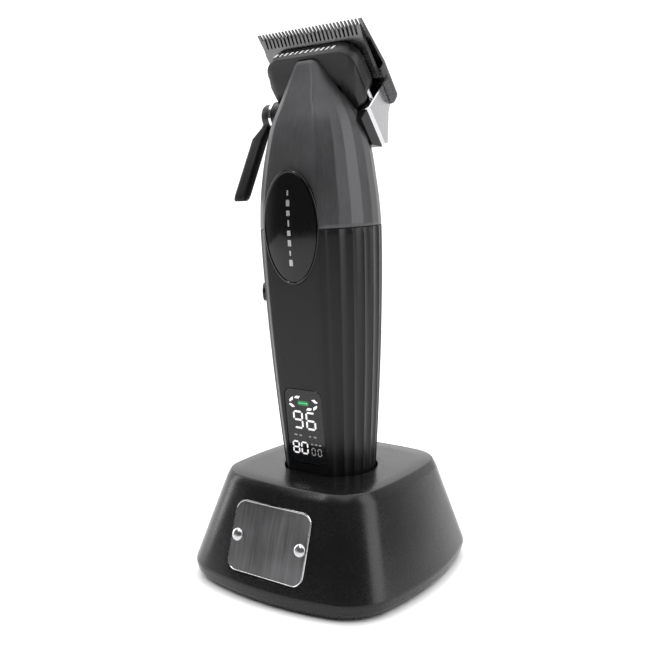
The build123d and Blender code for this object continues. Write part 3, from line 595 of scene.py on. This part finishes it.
def blade_box(x, heel, out):
    outline = [(x[0], heel[0]), (x[1], heel[0]), (x[1], heel[1]), (x[0], heel[1])]
    return cutter_stack(outline, out[0], out[1], on_blade)


def side_place(a, b, c):
    """Places an outline of (towards the heel, out) at c across."""
    return on_blade(c, a, b)


def lever_round(radius, inner, outer):
    """A closed cylinder about the lever's pivot, between two distances across."""
    layers = [(circle(radius, 48, LEVER_PIVOT), c) for c in (outer, inner)]
    return stack("cutter", layers, side_place, None)


def badge_cutter():
    return cutter_stack(ellipse(BADGE_HALF_WIDTH, BADGE_HALF_HEIGHT), -BADGE_DEPTH, 4, on_badge)


DISPLAY_OUTLINE = rounded_rectangle(DISPLAY_HALF, DISPLAY_HALF_HEIGHT, 3.0, 5)


def build_lower_shell():
    button_hole = cutter_stack(circle(BUTTON_RADIUS + 0.15, 40), -6, 4, on_button)
    display_hole = cutter_stack(DISPLAY_OUTLINE, -DISPLAY_DEPTH - 1.5, 4, on_display)
    return barrel(
        "lower_shell_fluted", "lower_shell", heights(3.0, SEAM - 0.05, 2.6), lower_section,
        lower_flute, "clipper", [badge_cutter(), display_hole, button_hole])


def lower_flute(up):
    return 0.62 * ease((up - 3) / 6)


def upper_flute(up):
    return 0.16 * (1 - ease((up - 146) / 12))


def build_upper_shell():
    neck = stack(
        "cutter", [(blade_rectangle(h, f, b, 4), n) for n, h, f, b in NECK_LEVELS], on_blade, None)
    bracket = [(28, HEEL_FLOOR + 0.1), (28, -18.2), (39.7, -18.2), (44.9, HEEL_FLOOR + 0.1)]
    cutters = [
        blade_box((-45, 45), (-60, 120), (HEAD_LIP, 60)),
        blade_box((-45, 45), (HEEL_START, 120), (HEEL_FLOOR - DECK_THICK, 50)),
        neck,
        stack("cutter", [(bracket, -19.3), (bracket, 19.3)], side_place, None),
        lever_round(LEVER_CLEARANCE, BOSS_SPAN[1], -26),
        badge_cutter(),
    ]
    return barrel(
        "upper_shell_fluted", "upper_shell", heights(SEAM + 0.05, 166.9, 1.6), upper_section,
        upper_flute, "clipper", cutters)


build_lower_shell()
build_upper_shell()

# ---- oval badge --------------------------------------------------------------------------------
BADGE_DOME = 1.1
BADGE_GAP = 0.12


def build_badge():
    """The glossy oval: a fine rim, a groove inside it, and a low dome."""
    gap = BADGE_GAP
    layers = []
    for inset, height in ((gap, -BADGE_DEPTH), (gap, -0.15), (gap + 0.12, 0.0), (gap + 0.5, 0.05),
                          (gap + 0.75, -0.22), (gap + 1.05, -0.22)):
        layers.append((ellipse(BADGE_HALF_WIDTH - inset, BADGE_HALF_HEIGHT - inset), height))
    start = gap + 1.05
    for i in range(13):
        share = i / 12
        inset = start + (BADGE_HALF_WIDTH - start - 0.4) * share
        rise = (BADGE_DOME + 0.1) * (1 - (1 - share) ** 2.3) - 0.1
        tall = BADGE_HALF_HEIGHT - start - (BADGE_HALF_HEIGHT - start - 0.6) * share
        layers.append((ellipse(BADGE_HALF_WIDTH - inset, tall), rise))
    badge = stack("oval_badge_dome", layers, on_badge, "clipper", smooth=50)
    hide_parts("oval_badge")
    return dress(badge, "gloss_black")


def badge_rise(a, b):
    """How high the badge's dome stands at a place on it."""
    start = BADGE_GAP + 1.05
    reach = sqrt((a / (BADGE_HALF_WIDTH - start)) ** 2 + (b / (BADGE_HALF_HEIGHT - start)) ** 2)
    return (BADGE_DOME + 0.1) * (1 - min(1, reach) ** 2.3) - 0.1


def build_badge_marks():
    """A plain row of rounded silver dashes down the middle, in place of a mark."""
    marks = []
    run = 25.0
    count = 8
    for i in range(count):
        b = run / 2 - run * i / (count - 1)
        half_long = 1.15 if i % 2 else 0.95
        half_wide = 0.75 if i % 3 else 0.35
        outline = [(x, y + b) for x, y in rounded_rectangle(half_wide, half_long, 0.3, 3)]
        rings = [
            [on_badge(x, y, badge_rise(x, y) + lift) for x, y in outline] for lift in (-0.2, 0.06)
        ]
        marks.append(make_object("mark", *skin(rings), None))
    return dress(joined("badge_dashes", marks, "clipper"), "chrome", LOOKS["print_silver"])


# ---- display -----------------------------------------------------------------------------------
SEGMENTS = {
    "0": "abcdef", "6": "acdefg", "8": "abcdefg", "9": "abcdfg",
}


def segment_outline(kind, wide, tall, thick):
    """The outline of one of a digit's seven bars, with pointed ends."""
    w, h, t = wide / 2, tall / 2, thick / 2
    gap = 0.35 * thick
    flat_bars = {"a": h - t, "g": 0, "d": -(h - t)}
    if kind in flat_bars:
        y = flat_bars[kind]
        reach = w - t - gap
        return [(-reach, y), (-reach + t, y - t), (reach - t, y - t), (reach, y), (reach - t, y + t),
                (-reach + t, y + t)]
    x = w - t if kind in "bc" else -(w - t)
    low, high = (gap, h - t - gap) if kind in "bf" else (-(h - t - gap), -gap)
    return [(x, low), (x + t, low + t), (x + t, high - t), (x, high), (x - t, high - t),
            (x - t, low + t)]


def glyph(outline, centre, turn=0.0, lift=0.0):
    """A thin raised shape on the display, turned about its own middle."""
    points = []
    for x, y in outline:
        points.append((centre[0] + x * cos(turn) - y * sin(turn),
                       centre[1] + x * sin(turn) + y * cos(turn)))
    return stack("glyph", [(points, -0.12 + lift), (points, 0.03 + lift)], on_display, None)


def digit(text, centre, wide, tall, thick):
    shapes = []
    for kind in SEGMENTS[text]:
        shapes.append(glyph(segment_outline(kind, wide, tall, thick), centre))
    return shapes


def build_display():
    inset = 0.14
    layers = []
    for out_inset, height in ((inset, -DISPLAY_DEPTH), (inset, -0.25), (inset + 0.18, -0.1),
                              (inset + 0.6, -0.1)):
        layers.append((rounded_rectangle(DISPLAY_HALF - out_inset, DISPLAY_HALF_HEIGHT - out_inset,
                                         3.0 - out_inset, 5), height))
    window = stack("display_glass_pane", layers, on_display, "clipper", smooth=25)
    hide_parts("display_window")
    dress(window, "display_glass")

    ring = []
    arrow = [(-1.3, -0.45), (0.6, -0.5), (1.4, 0.5), (-0.3, 0.5), (-0.9, 0.2)]
    for turn, x, y in ((0, -2.6, 11.7), (35, -5.4, 10.6), (-38, -5.4, 8.2), (180, 2.6, 7.4),
                       (-148, 5.4, 8.3), (145, 5.4, 10.8)):
        ring.append(glyph(arrow, (x, y), radians(turn)))
    big = digit("9", (-2.9, 2.7), 4.5, 7.2, 0.72) + digit("6", (2.9, 2.7), 4.5, 7.2, 0.72)
    small = digit("8", (-4.9, -8.6), 3.3, 5.1, 0.6) + digit("0", (-1.0, -8.6), 3.3, 5.1, 0.6)
    dress(joined("display_figures", ring + big + small, "clipper"), "display_glass",
          LOOKS["lit_white"])

    thin = digit("0", (3.0, -9.6), 1.9, 3.2, 0.4) + digit("0", (5.8, -9.6), 1.9, 3.2, 0.4)
    bars = []
    for x, wide in ((-4.6, 1.5), (-2.4, 1.3), (1.9, 1.1), (4.2, 1.4)):
        bars.append(glyph(rounded_rectangle(wide / 2, 0.32, 0.3, 3), (x, -3.6)))
    for x in (2.6, 4.4, 6.2):
        bars.append(glyph(rounded_rectangle(0.6, 0.28, 0.25, 3), (x, -6.6)))
    dress(joined("display_labels", thin + bars, "clipper"), "display_glass", LOOKS["lit_grey"])

    pill = [glyph(rounded_rectangle(2.6, 0.95, 0.9, 5), (0, 9.5), lift=-0.02)]
    dress(joined("display_pill", pill, "clipper"), "display_glass", LOOKS["lit_green"])
    slots = [glyph(rounded_rectangle(0.42, 0.24, 0.2, 3), (x, 9.5), lift=0.03)
             for x in (-1.5, -0.5, 0.5, 1.5)]
    dress(joined("display_pill_dots", slots, "clipper"), "display_glass", LOOKS["lit_mint"])


# ---- power button ------------------------------------------------------------------------------
def build_button():
    """The round button, with a dished top and a stem that reaches the switch."""
    edge = BUTTON_RADIUS
    profile = [(1.2, -3.0), (1.2, -1.6), (edge - 0.05, -1.6), (edge, -1.4), (edge, 0.55),
               (edge - 0.1, 0.82), (edge - 0.4, 0.97), (edge - 0.7, 1.0), (2.5, 0.94), (1.6, 0.7),
               (0.8, 0.6), (0.02, 0.57)]
    button = revolve("power_button_dished", profile, on_button, "button")
    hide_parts("power_button")
    return dress(button, "satin_black_plastic")


# ---- head --------------------------------------------------------------------------------------
HEAD_HALF = 19.7
HEAD_FRONT = 6.1
HEAD_BACK = 27.9
HEAD_TOP = -2.2
HEAD_CORNER = 7.5
LEVER_SHAFT = 2.2
CRANK_RELIEF = 4.6


def build_head():
    """The black head: a tapering neck, a rounded lip, a hollow for the drive, the lever's boss."""
    def lip(inset):
        return blade_rectangle(HEAD_HALF - inset, HEAD_FRONT + inset, HEAD_BACK - 0.3 * inset,
                               HEAD_CORNER - inset, 8)

    layers = [(blade_rectangle(h, f, b, 4, 8), n) for n, h, f, b in reversed(NECK_LEVELS)]
    layers[-1] = (layers[-1][0], HEAD_LIP)
    layers += [(lip(0.9), HEAD_LIP), (lip(0.25), HEAD_LIP + 0.12), (lip(0.0), HEAD_LIP + 0.5),
               (lip(0.0), HEAD_TOP - 0.7), (lip(0.2), HEAD_TOP - 0.2), (lip(0.7), HEAD_TOP)]
    head = stack("head_block_smooth", layers, on_blade, "clipper", smooth=35)
    pockets = [
        blade_box((-15.6, 15.6), (12.2, 28.2), (HEAD_LIP, HEAD_TOP + 0.3)),
        blade_box((-12.4, 12.4), (15.6, 28.2), (-11.4, HEAD_LIP + 0.01)),
        blade_box((-12.4, 12.4), (17.2, 28.2), (-14, -11.3)),
        blade_box((-15.6, -11), (21.5, 28.2), (-14, HEAD_LIP + 0.02)),
        lever_round(LEVER_CLEARANCE, BOSS_SPAN[0], -26),
    ]
    carve(head, pockets, smooth=35)
    boss = lever_round(BOSS_RADIUS, BOSS_SPAN[1], BOSS_SPAN[0])
    bore = lever_round(LEVER_SHAFT + 0.05, -15, -18)
    relief = lever_round(CRANK_RELIEF, BOSS_SPAN[1] + 1, -15.9)
    carve(boss, [bore, relief], smooth=35)
    carve(head, [boss], smooth=35, operation="UNION")
    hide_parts("head_block")
    return dress(head, "head_black")


def build_head_dashes():
    """A line of slanted white dashes on the lip's front, in place of a word."""
    marks = []
    count = 12
    for i in range(count):
        x = -14.0 + 2.28 * i
        slant = 0.35
        half_wide = 0.4 if i % 3 == 1 else 0.52
        outline = [(x - half_wide - slant, -6.3), (x + half_wide - slant, -6.3),
                   (x + half_wide + slant, -4.6), (x - half_wide + slant, -4.6)]
        rings = [[on_blade(a, HEAD_FRONT + depth, n) for a, n in outline] for depth in (0.2, -0.05)]
        marks.append(make_object("mark", *skin(rings), None))
    return dress(joined("lip_dashes", marks, "clipper"), "head_black", LOOKS["print_white"])


# ---- heel block --------------------------------------------------------------------------------
HEEL_OUTLINE = [(28, HEEL_FLOOR), (28, 2.1), (37, 2.1), (38.2, -0.5), (46.3, -9.0), (44.9, HEEL_FLOOR)]


def build_heel_block():
    """The chrome block: a broad chamfer along each lower edge, and small ones round the rest."""
    half = HEAD_HALF
    broad = 1.7

    def section(inset, lift):
        points = []
        for e, n in HEEL_OUTLINE:
            low = n == HEEL_FLOOR
            e_in = e + inset * (1 if e == 28 else -1)
            points.append((e_in, n + lift if low else n - inset))
        return points

    rings = [
        (section(0.35, broad + 0.2), -half), (section(0.0, broad), -half + 0.3),
        (section(0.0, 0.0), -half + broad), (section(0.0, 0.0), half - broad),
        (section(0.0, broad), half - 0.3), (section(0.35, broad + 0.2), half),
    ]
    block = stack("heel_block_chrome", rings, side_place, "clipper", smooth=20)
    cutters = [blade_box((-15.3, 15.3), (27.5, 36.6), (-4.3, -1.7)),
               blade_box((-16, 16), (30.5, 41), (-14, -6.4)),
               lever_round(LEVER_CLEARANCE, BOSS_SPAN[1], -26)]
    for side in (-1, 1):
        x = sorted((side * 9.4, side * 13.6))
        cutters.append(blade_box(x, (29.8, 35.9), (-2, 3)))
    carve(block, cutters, smooth=20)
    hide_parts("heel_block")
    return dress(block, "chrome", LOOKS["chrome_satin"])


# ---- comb and cutter ---------------------------------------------------------------------------
COMB_HALF = 22.7
COMB_PITCH = 1.5
COMB_SLOTS = 29
CUTTER_HALF = 21.6
CUTTER_PITCH = 1.7
CUTTER_SLOTS = 24
COMB_LENGTH = 36.7
COMB_CORNER = 3.0
COMB_THICK = 4.6
COMB_ROOT = 4.7              # how far the comb's gaps reach from the tips
CUTTER_ROOT = 5.4
CUTTER_FRONT = 2.0
SCREW_PLACES = ((-11.5, 32), (11.5, 32))


def tooth_slots(pitch, count, tip, root, mouth, width, low, high):
    """Gaps between pointed teeth: wide at the tips, narrow and round at the root."""
    half = width / 2
    nose = [(half * cos(t), root - half + half * sin(t)) for t in [pi * i / 6 for i in range(7)]]
    outline = [(-mouth / 2, tip - 0.4), (mouth / 2, tip - 0.4), (half + 0.06, tip + 1.5), *nose,
               (-half - 0.06, tip + 1.5)]
    places = [(i - (count - 1) / 2) * pitch for i in range(count)]
    slots = [cutter_stack([(x + a, b) for a, b in outline], low, high, on_blade) for x in places]
    return joined("cutter", slots, None)


def paint_faces(piece, look, test):
    """Gives a second material to the faces whose outward direction passes a test."""
    piece.data.materials.append(look)
    for face in piece.data.polygons:
        if test(face.normal, face.center):
            face.material_index = len(piece.data.materials) - 1


def build_comb():
    """The fixed blade: its section is carried across, with the two heel corners rounded off."""
    soft = 0.3
    heel_edge = COMB_LENGTH - soft
    outline = [
        (0, 0.06), (0.3, 0), (7.3, 0), (8.6, 0.9), (19.8, 3.2), (20, 0), (24, 0), (24, 2.2),
        (COMB_LENGTH, 2.2), (COMB_LENGTH, COMB_THICK - soft), (heel_edge, COMB_THICK),
        (19.9, COMB_THICK), (0, 0.5),
    ]
    corner = COMB_CORNER
    steps = 6
    rings = []
    for i in range(steps + 1):
        turn = radians(90 * i / steps)
        x = COMB_HALF - corner + corner * sin(turn)
        trim = corner * (1 - cos(turn))
        rings.append((x, trim))
    layers = []
    for x, trim in [(-x, t) for x, t in reversed(rings)] + rings:
        shape = []
        for e, n in outline:
            drop = 0.35 if abs(x) > COMB_HALF - 0.05 and n > 2.3 else 0.0
            limit = COMB_LENGTH - trim - (soft if e == heel_edge else 0)
            shape.append((min(e, limit), n - drop))
        layers.append((shape, x))
    comb = stack("comb_blade_ground", layers, side_place, "comb", smooth=25)
    cutters = [tooth_slots(COMB_PITCH, COMB_SLOTS, 0, COMB_ROOT, 1.05, 0.78, -1, 6)]
    for x, e in SCREW_PLACES:
        cutters.append(cutter_stack(circle(1.6, 24, (x, e)), 0, 6, on_blade))
    carve(comb, cutters, smooth=25)
    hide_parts("comb_blade")
    dress(comb, "blade_steel")
    # Painted shade: the faces across the blade, the walls of the tooth gaps and the ends, take the
    # darker steel; so do the faces turned out of the blade's back.
    paint_faces(comb, LOOKS["blade_dark"], lambda n, c: n.dot(OUTWARD) > 0.35 or abs(n.x) > 0.5)
    return comb


def build_cutter():
    outline = [(CUTTER_FRONT, -0.4), (CUTTER_FRONT, -0.05), (22.5, -0.05), (22.5, -1.9), (8, -1.9)]
    cutter = stack("cutter_blade_ground", [(outline, -CUTTER_HALF), (outline, CUTTER_HALF)],
                   side_place, "cutter", smooth=25)
    cutters = [
        tooth_slots(CUTTER_PITCH, CUTTER_SLOTS, CUTTER_FRONT, CUTTER_ROOT, 1.1, 0.7, -3, 1)]
    for e in (14.5, 18.1):
        cutters.append(cutter_stack(circle(1.0, 24, (0, e)), -3, 1, on_blade))
    carve(cutter, cutters, smooth=25)
    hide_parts("cutter_blade")
    dress(cutter, "blade_steel")
    # Painted shade: the walls of the tooth gaps and the ends take the darker steel, darkening the gaps
    # between the teeth.
    paint_faces(cutter, LOOKS["blade_dark"], lambda n, c: abs(n.x) > 0.5)
    return cutter


def screw(profile, place, body, slot_width, slot_long, top, middle=(0, 0)):
    """A turned screw with a cross cut in its head."""
    piece = revolve("screw", profile, place, body, 32, middle)
    cuts = []
    for wide, tall in ((slot_long, slot_width), (slot_width, slot_long)):
        outline = rounded_rectangle(wide / 2, tall / 2, slot_width / 2.5, 2, middle)
        cuts.append(cutter_stack(outline, top - 0.6, top + 1, place))
    carve(piece, cuts, smooth=30)
    return piece


def build_comb_screws():
    heads = []
    for place in SCREW_PLACES:
        profile = [(1.6, -4.0), (1.6, 3.4), (2.9, 3.4), (3.0, 3.5), (3.0, 4.1), (2.8, 4.35),
                   (2.2, 4.48), (0.02, 4.5)]
        heads.append(screw(profile, on_blade, None, 0.7, 3.2, 4.5, place))
    screws = joined("comb_screws_cross", heads, "comb")
    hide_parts("comb_screws")
    return dress(screws, "steel_hardware")


# ---- taper lever -------------------------------------------------------------------------------
HUB_RADIUS = 4.8
HUB_SPAN = (-21.9, -18.05)
# (height, across, back, width, depth) of the arm's middle line
ARM_LINE = [
    (148.6, -19.9, -0.8, 3.3, 4.4), (145.0, -21.4, -1.9, 3.6, 4.6), (141.0, -24.2, -3.4, 5.2, 4.6),
    (133.0, -25.7, -6.3, 5.3, 4.6), (120.0, -28.2, -11.0, 5.4, 4.6), (118.4, -28.5, -11.5, 5.1, 4.3),
    (117.7, -28.6, -11.8, 4.2, 3.4),
]


def build_lever():
    rings = []
    for up, across, back, wide, deep in ARM_LINE:
        outline = rounded_rectangle(wide / 2, deep / 2, min(1.0, wide / 3, deep / 3), 4)
        rings.append([on_body(across + x, back + y, up) for x, y in outline])
    arm = make_object("arm", *skin(rings), None)
    hub_profile = [(HUB_RADIUS - 0.5, HUB_SPAN[0]), (HUB_RADIUS - 0.15, HUB_SPAN[0] + 0.15),
                   (HUB_RADIUS, HUB_SPAN[0] + 0.5), (HUB_RADIUS, HUB_SPAN[1])]
    layers = [(circle(r, 48, LEVER_PIVOT), h) for r, h in hub_profile]
    lever = stack("taper_lever_arm", layers, side_place, "lever")
    carve(lever, [arm], smooth=35, operation="UNION")
    carve(lever, [lever_round(3.0, HUB_SPAN[0], HUB_SPAN[0] - 3)], smooth=35)
    hole_layers = [(circle(LEVER_SHAFT, 32, LEVER_PIVOT), c) for c in (-25, -17)]
    hole = stack("cutter", hole_layers, side_place, None)
    carve(lever, [hole], smooth=35)
    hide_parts("taper_lever")
    return dress(lever, "head_black")


def build_lever_screw():
    top = HUB_SPAN[0]
    profile = [(0.02, top - 1.2), (1.4, top - 1.15), (2.3, top - 0.9), (2.75, top - 0.5),
               (2.9, top - 0.15), (2.9, top)]
    layers = [(circle(r, 40, LEVER_PIVOT), h) for r, h in profile]
    screw_head = stack("lever_screw_dome", layers, side_place, "lever")
    slot = [(LEVER_PIVOT[0] + x, LEVER_PIVOT[1] + y) for x, y in rounded_rectangle(2.2, 0.35, 0.15)]
    carve(screw_head, [stack("cutter", [(slot, top - 2), (slot, top - 0.7)], side_place, None)])
    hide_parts("lever_screw")
    return dress(screw_head, "chrome")


# ---- dock --------------------------------------------------------------------------------------
# (height, half width, half depth, how far the sides bulge, corner radius)
DOCK_LEVELS = [
    (0.8, 44.2, 47.6, 6.6, 19.5), (3.0, 45.8, 49.2, 7.0, 20.0), (6.0, 46.5, 49.9, 7.2, 20.0),
    (38.1, 34.9, 38.3, 3.4, 17.0), (41.0, 33.2, 36.6, 2.8, 16.0),
]
DOCK_TOP = 41.0
DOCK_WALL = 2.5
SOCKET_RADIUS = 18.5
EDGE_ROUND = (0, 0.4, 0.8, 0.45, 0.45)
PLATE_TILT = radians(17)
on_plate = plane_on(in_dock(0, -43.6, 21.7), ACROSS, Vector((0, sin(PLATE_TILT), cos(PLATE_TILT))))


def dock_quadrant(half_x, half_y, bulge, corner):
    """The outline from the front's middle to the right side's middle: an arc, a corner, an arc."""
    front_r = ((half_x - bulge) ** 2 + bulge ** 2) / (2 * bulge)
    side_r = ((half_y - bulge) ** 2 + bulge ** 2) / (2 * bulge)
    front_c = Vector((0, front_r - half_y))
    side_c = Vector((half_x - side_r, 0))
    a, b = front_r - corner, side_r - corner
    gap = side_c - front_c
    far = gap.length
    along = (a * a - b * b + far * far) / (2 * far)
    off = sqrt(max(0, a * a - along * along))
    unit = gap / far
    choices = [front_c + unit * along + Vector((-unit.y, unit.x)) * off * s for s in (-1, 1)]
    middle = max(choices, key=lambda p: p.x - p.y)
    start = front_c + (middle - front_c).normalized() * front_r
    end = side_c + (middle - side_c).normalized() * side_r
    points = []
    reach = asin(start.x / front_r)
    for i in range(14):
        t = reach * i / 14
        points.append((front_r * sin(t), front_c.y - front_r * cos(t)))
    t0 = atan2(start.y - middle.y, start.x - middle.x)
    t1 = atan2(end.y - middle.y, end.x - middle.x)
    for i in range(13):
        t = t0 + (t1 - t0) * i / 12
        points.append((middle.x + corner * cos(t), middle.y + corner * sin(t)))
    reach = asin(-end.y / side_r)
    for i in range(1, 14):
        t = -reach * (1 - i / 14)
        points.append((side_c.x + side_r * cos(t), side_r * sin(t)))
    return points


def dock_ring(level, inset=0.0):
    z, half_x, half_y, bulge, corner = level
    right = dock_quadrant(half_x - inset, half_y - inset, bulge, corner - inset)
    right += [(half_x - inset, 0)] + [(x, -y) for x, y in reversed(right[1:])]
    right += [(0, half_y - inset)]
    left = [(-x, y) for x, y in reversed(right[1:-1])]
    return [in_dock(x, y, z) for x, y in right + left]


def blend_levels(a, b, share):
    return tuple(p + (q - p) * share for p, q in zip(a, b))


def rounded_levels():
    """The dock's levels, with each break between two slopes rounded off."""
    levels = [DOCK_LEVELS[0]]
    for i in range(1, len(DOCK_LEVELS) - 1):
        before, here, after = DOCK_LEVELS[i - 1:i + 2]
        near = blend_levels(here, before, EDGE_ROUND[i] / (here[0] - before[0]))
        far = blend_levels(here, after, EDGE_ROUND[i] / (after[0] - here[0]))
        for k in range(5):
            t = k / 4
            levels.append(blend_levels(blend_levels(near, here, t), blend_levels(here, far, t), t))
    return levels


def socket_ring(directions, radius, flat, height=None, up=None):
    """The socket's outline on the same directions as a dock ring, level or square to the clipper."""
    lean = atan2(-UP.y, UP.z)
    points = []
    for t in directions:
        reach = radius
        if cos(t) > 0:
            reach = min(radius, flat / cos(t))
        x, back = reach * sin(t), -reach * cos(t)
        s = up if height is None else (height - FOOT.z - back * sin(lean)) / cos(lean)
        points.append(on_body(x, back, s))
    return points


def build_dock():
    outer = [dock_ring(level) for level in rounded_levels()]
    last, top = DOCK_LEVELS[-2], DOCK_LEVELS[-1]
    for drop, inset in ((0.35, -0.08), (0.12, 0.08), (0.0, 0.38)):
        level = blend_levels(top, last, drop / (top[0] - last[0]))
        outer.append(dock_ring((DOCK_TOP - drop, *level[1:]), inset))
    directions = []
    middle = on_body(0, 0, (DOCK_TOP - FOOT.z) / UP.z) / MM
    for p in outer[-1]:
        directions.append(atan2(p.x / MM, -(p.y / MM - middle.y)))
    flat = cos(RIDGE) * SOCKET_RADIUS
    rings = list(outer)
    for share in (0.35, 0.7, 0.9):
        socket = socket_ring(directions, SOCKET_RADIUS + 0.5, flat + 0.5, height=DOCK_TOP)
        rings.append([a.lerp(b, share) for a, b in zip(outer[-1], socket)])
    for wider, height in ((0.5, DOCK_TOP), (0.15, DOCK_TOP - 0.12), (0.0, DOCK_TOP - 0.5),
                          (0.0, DOCK_TOP - DOCK_WALL)):
        rings.append(socket_ring(directions, SOCKET_RADIUS + wider, flat + wider, height=height))
    inside = blend_levels(DOCK_LEVELS[2], DOCK_LEVELS[3],
                          (DOCK_TOP - DOCK_WALL - 6.0) / (38.1 - 6.0))
    for level in (inside, DOCK_LEVELS[2], DOCK_LEVELS[0]):
        rings.append(dock_ring(level, DOCK_WALL))
    dock = make_object("dock_housing_smooth", *skin(rings, wrap=True), "dock", smooth=30)
    plate = rounded_rectangle(17.1, 13.05, 4.3, 8)
    inlet = [(x, 13 + z) for x, z in rounded_rectangle(4.6, 1.75, 1.2, 5)]
    rear = stack("cutter", [(inlet, -55), (inlet, -30)], lambda a, b, c: in_dock(a, -c, b), None)
    carve(dock, [cutter_stack(plate, -1.2, 5, on_plate), rear], smooth=30)
    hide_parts("dock_housing")
    dress(dock, "satin_black_plastic")

    wall = 1.8
    liner_top = DOCK_TOP - DOCK_WALL - 0.05
    liner = [
        socket_ring(directions, SOCKET_RADIUS + wall, flat + wall, up=-3.0),
        socket_ring(directions, SOCKET_RADIUS + wall, flat + wall, height=liner_top),
        socket_ring(directions, SOCKET_RADIUS, flat, height=liner_top),
        socket_ring(directions, SOCKET_RADIUS, flat, up=0.4),
        socket_ring(directions, SOCKET_RADIUS - 0.45, flat - 0.45, up=-0.05),
    ]
    cradle = make_object("socket_liner", *skin(liner), "dock", smooth=30)
    holes = [cutter_stack(circle(1.1, 24, (x, 0)), -6, 2, on_body) for x in (-5, 5)]
    carve(cradle, holes, smooth=30)
    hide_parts("dock_cradle")
    dress(cradle, "satin_black_plastic")


def build_nameplate():
    rim = 0.4
    layers = []
    for inset, height in ((0, -1.2), (0, -0.3), (rim * 0.55, 0.0), (rim, 0.0), (rim + 0.2, -0.12)):
        layers.append((rounded_rectangle(17 - inset, 12.95 - inset, 4.2 - inset, 8), height))
    plate = stack("nameplate_brushed", layers, on_plate, "dock", smooth=15)
    holes = [cutter_stack(circle(1.2, 24, (x, 0)), -3, 1, on_plate) for x in (-14, 14)]
    carve(plate, holes, smooth=15)
    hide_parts("dock_nameplate")
    dress(plate, "dark_steel")
    normal = (on_plate(0, 0, 1) - on_plate(0, 0, 0)) / MM
    brushed_level = on_plate(0, 0, -0.12)
    paint_faces(plate, LOOKS["rim_steel"],
                lambda n, c: (c - brushed_level).dot(normal) > 0.00003 or n.dot(normal) < 0.95)

    heads = []
    for x in (-14, 14):
        profile = [(1.2, -5.0), (1.2, -0.1), (2.35, -0.1), (2.4, 0.0), (2.4, 0.35), (2.25, 0.62),
                   (1.9, 0.88), (1.4, 1.06), (0.8, 1.17), (0.02, 1.2)]
        heads.append(revolve("screw", profile, on_plate, None, 40, (x, 0)))
    screws = joined("nameplate_screws_domed", heads, "dock")
    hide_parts("nameplate_screws")
    dress(screws, "chrome", LOOKS["chrome_satin"])


build_badge()
build_badge_marks()
build_display()
build_button()
build_head()
build_head_dashes()
build_heel_block()
build_comb()
build_cutter()
build_comb_screws()
build_lever()
build_lever_screw()
build_dock()
build_nameplate()
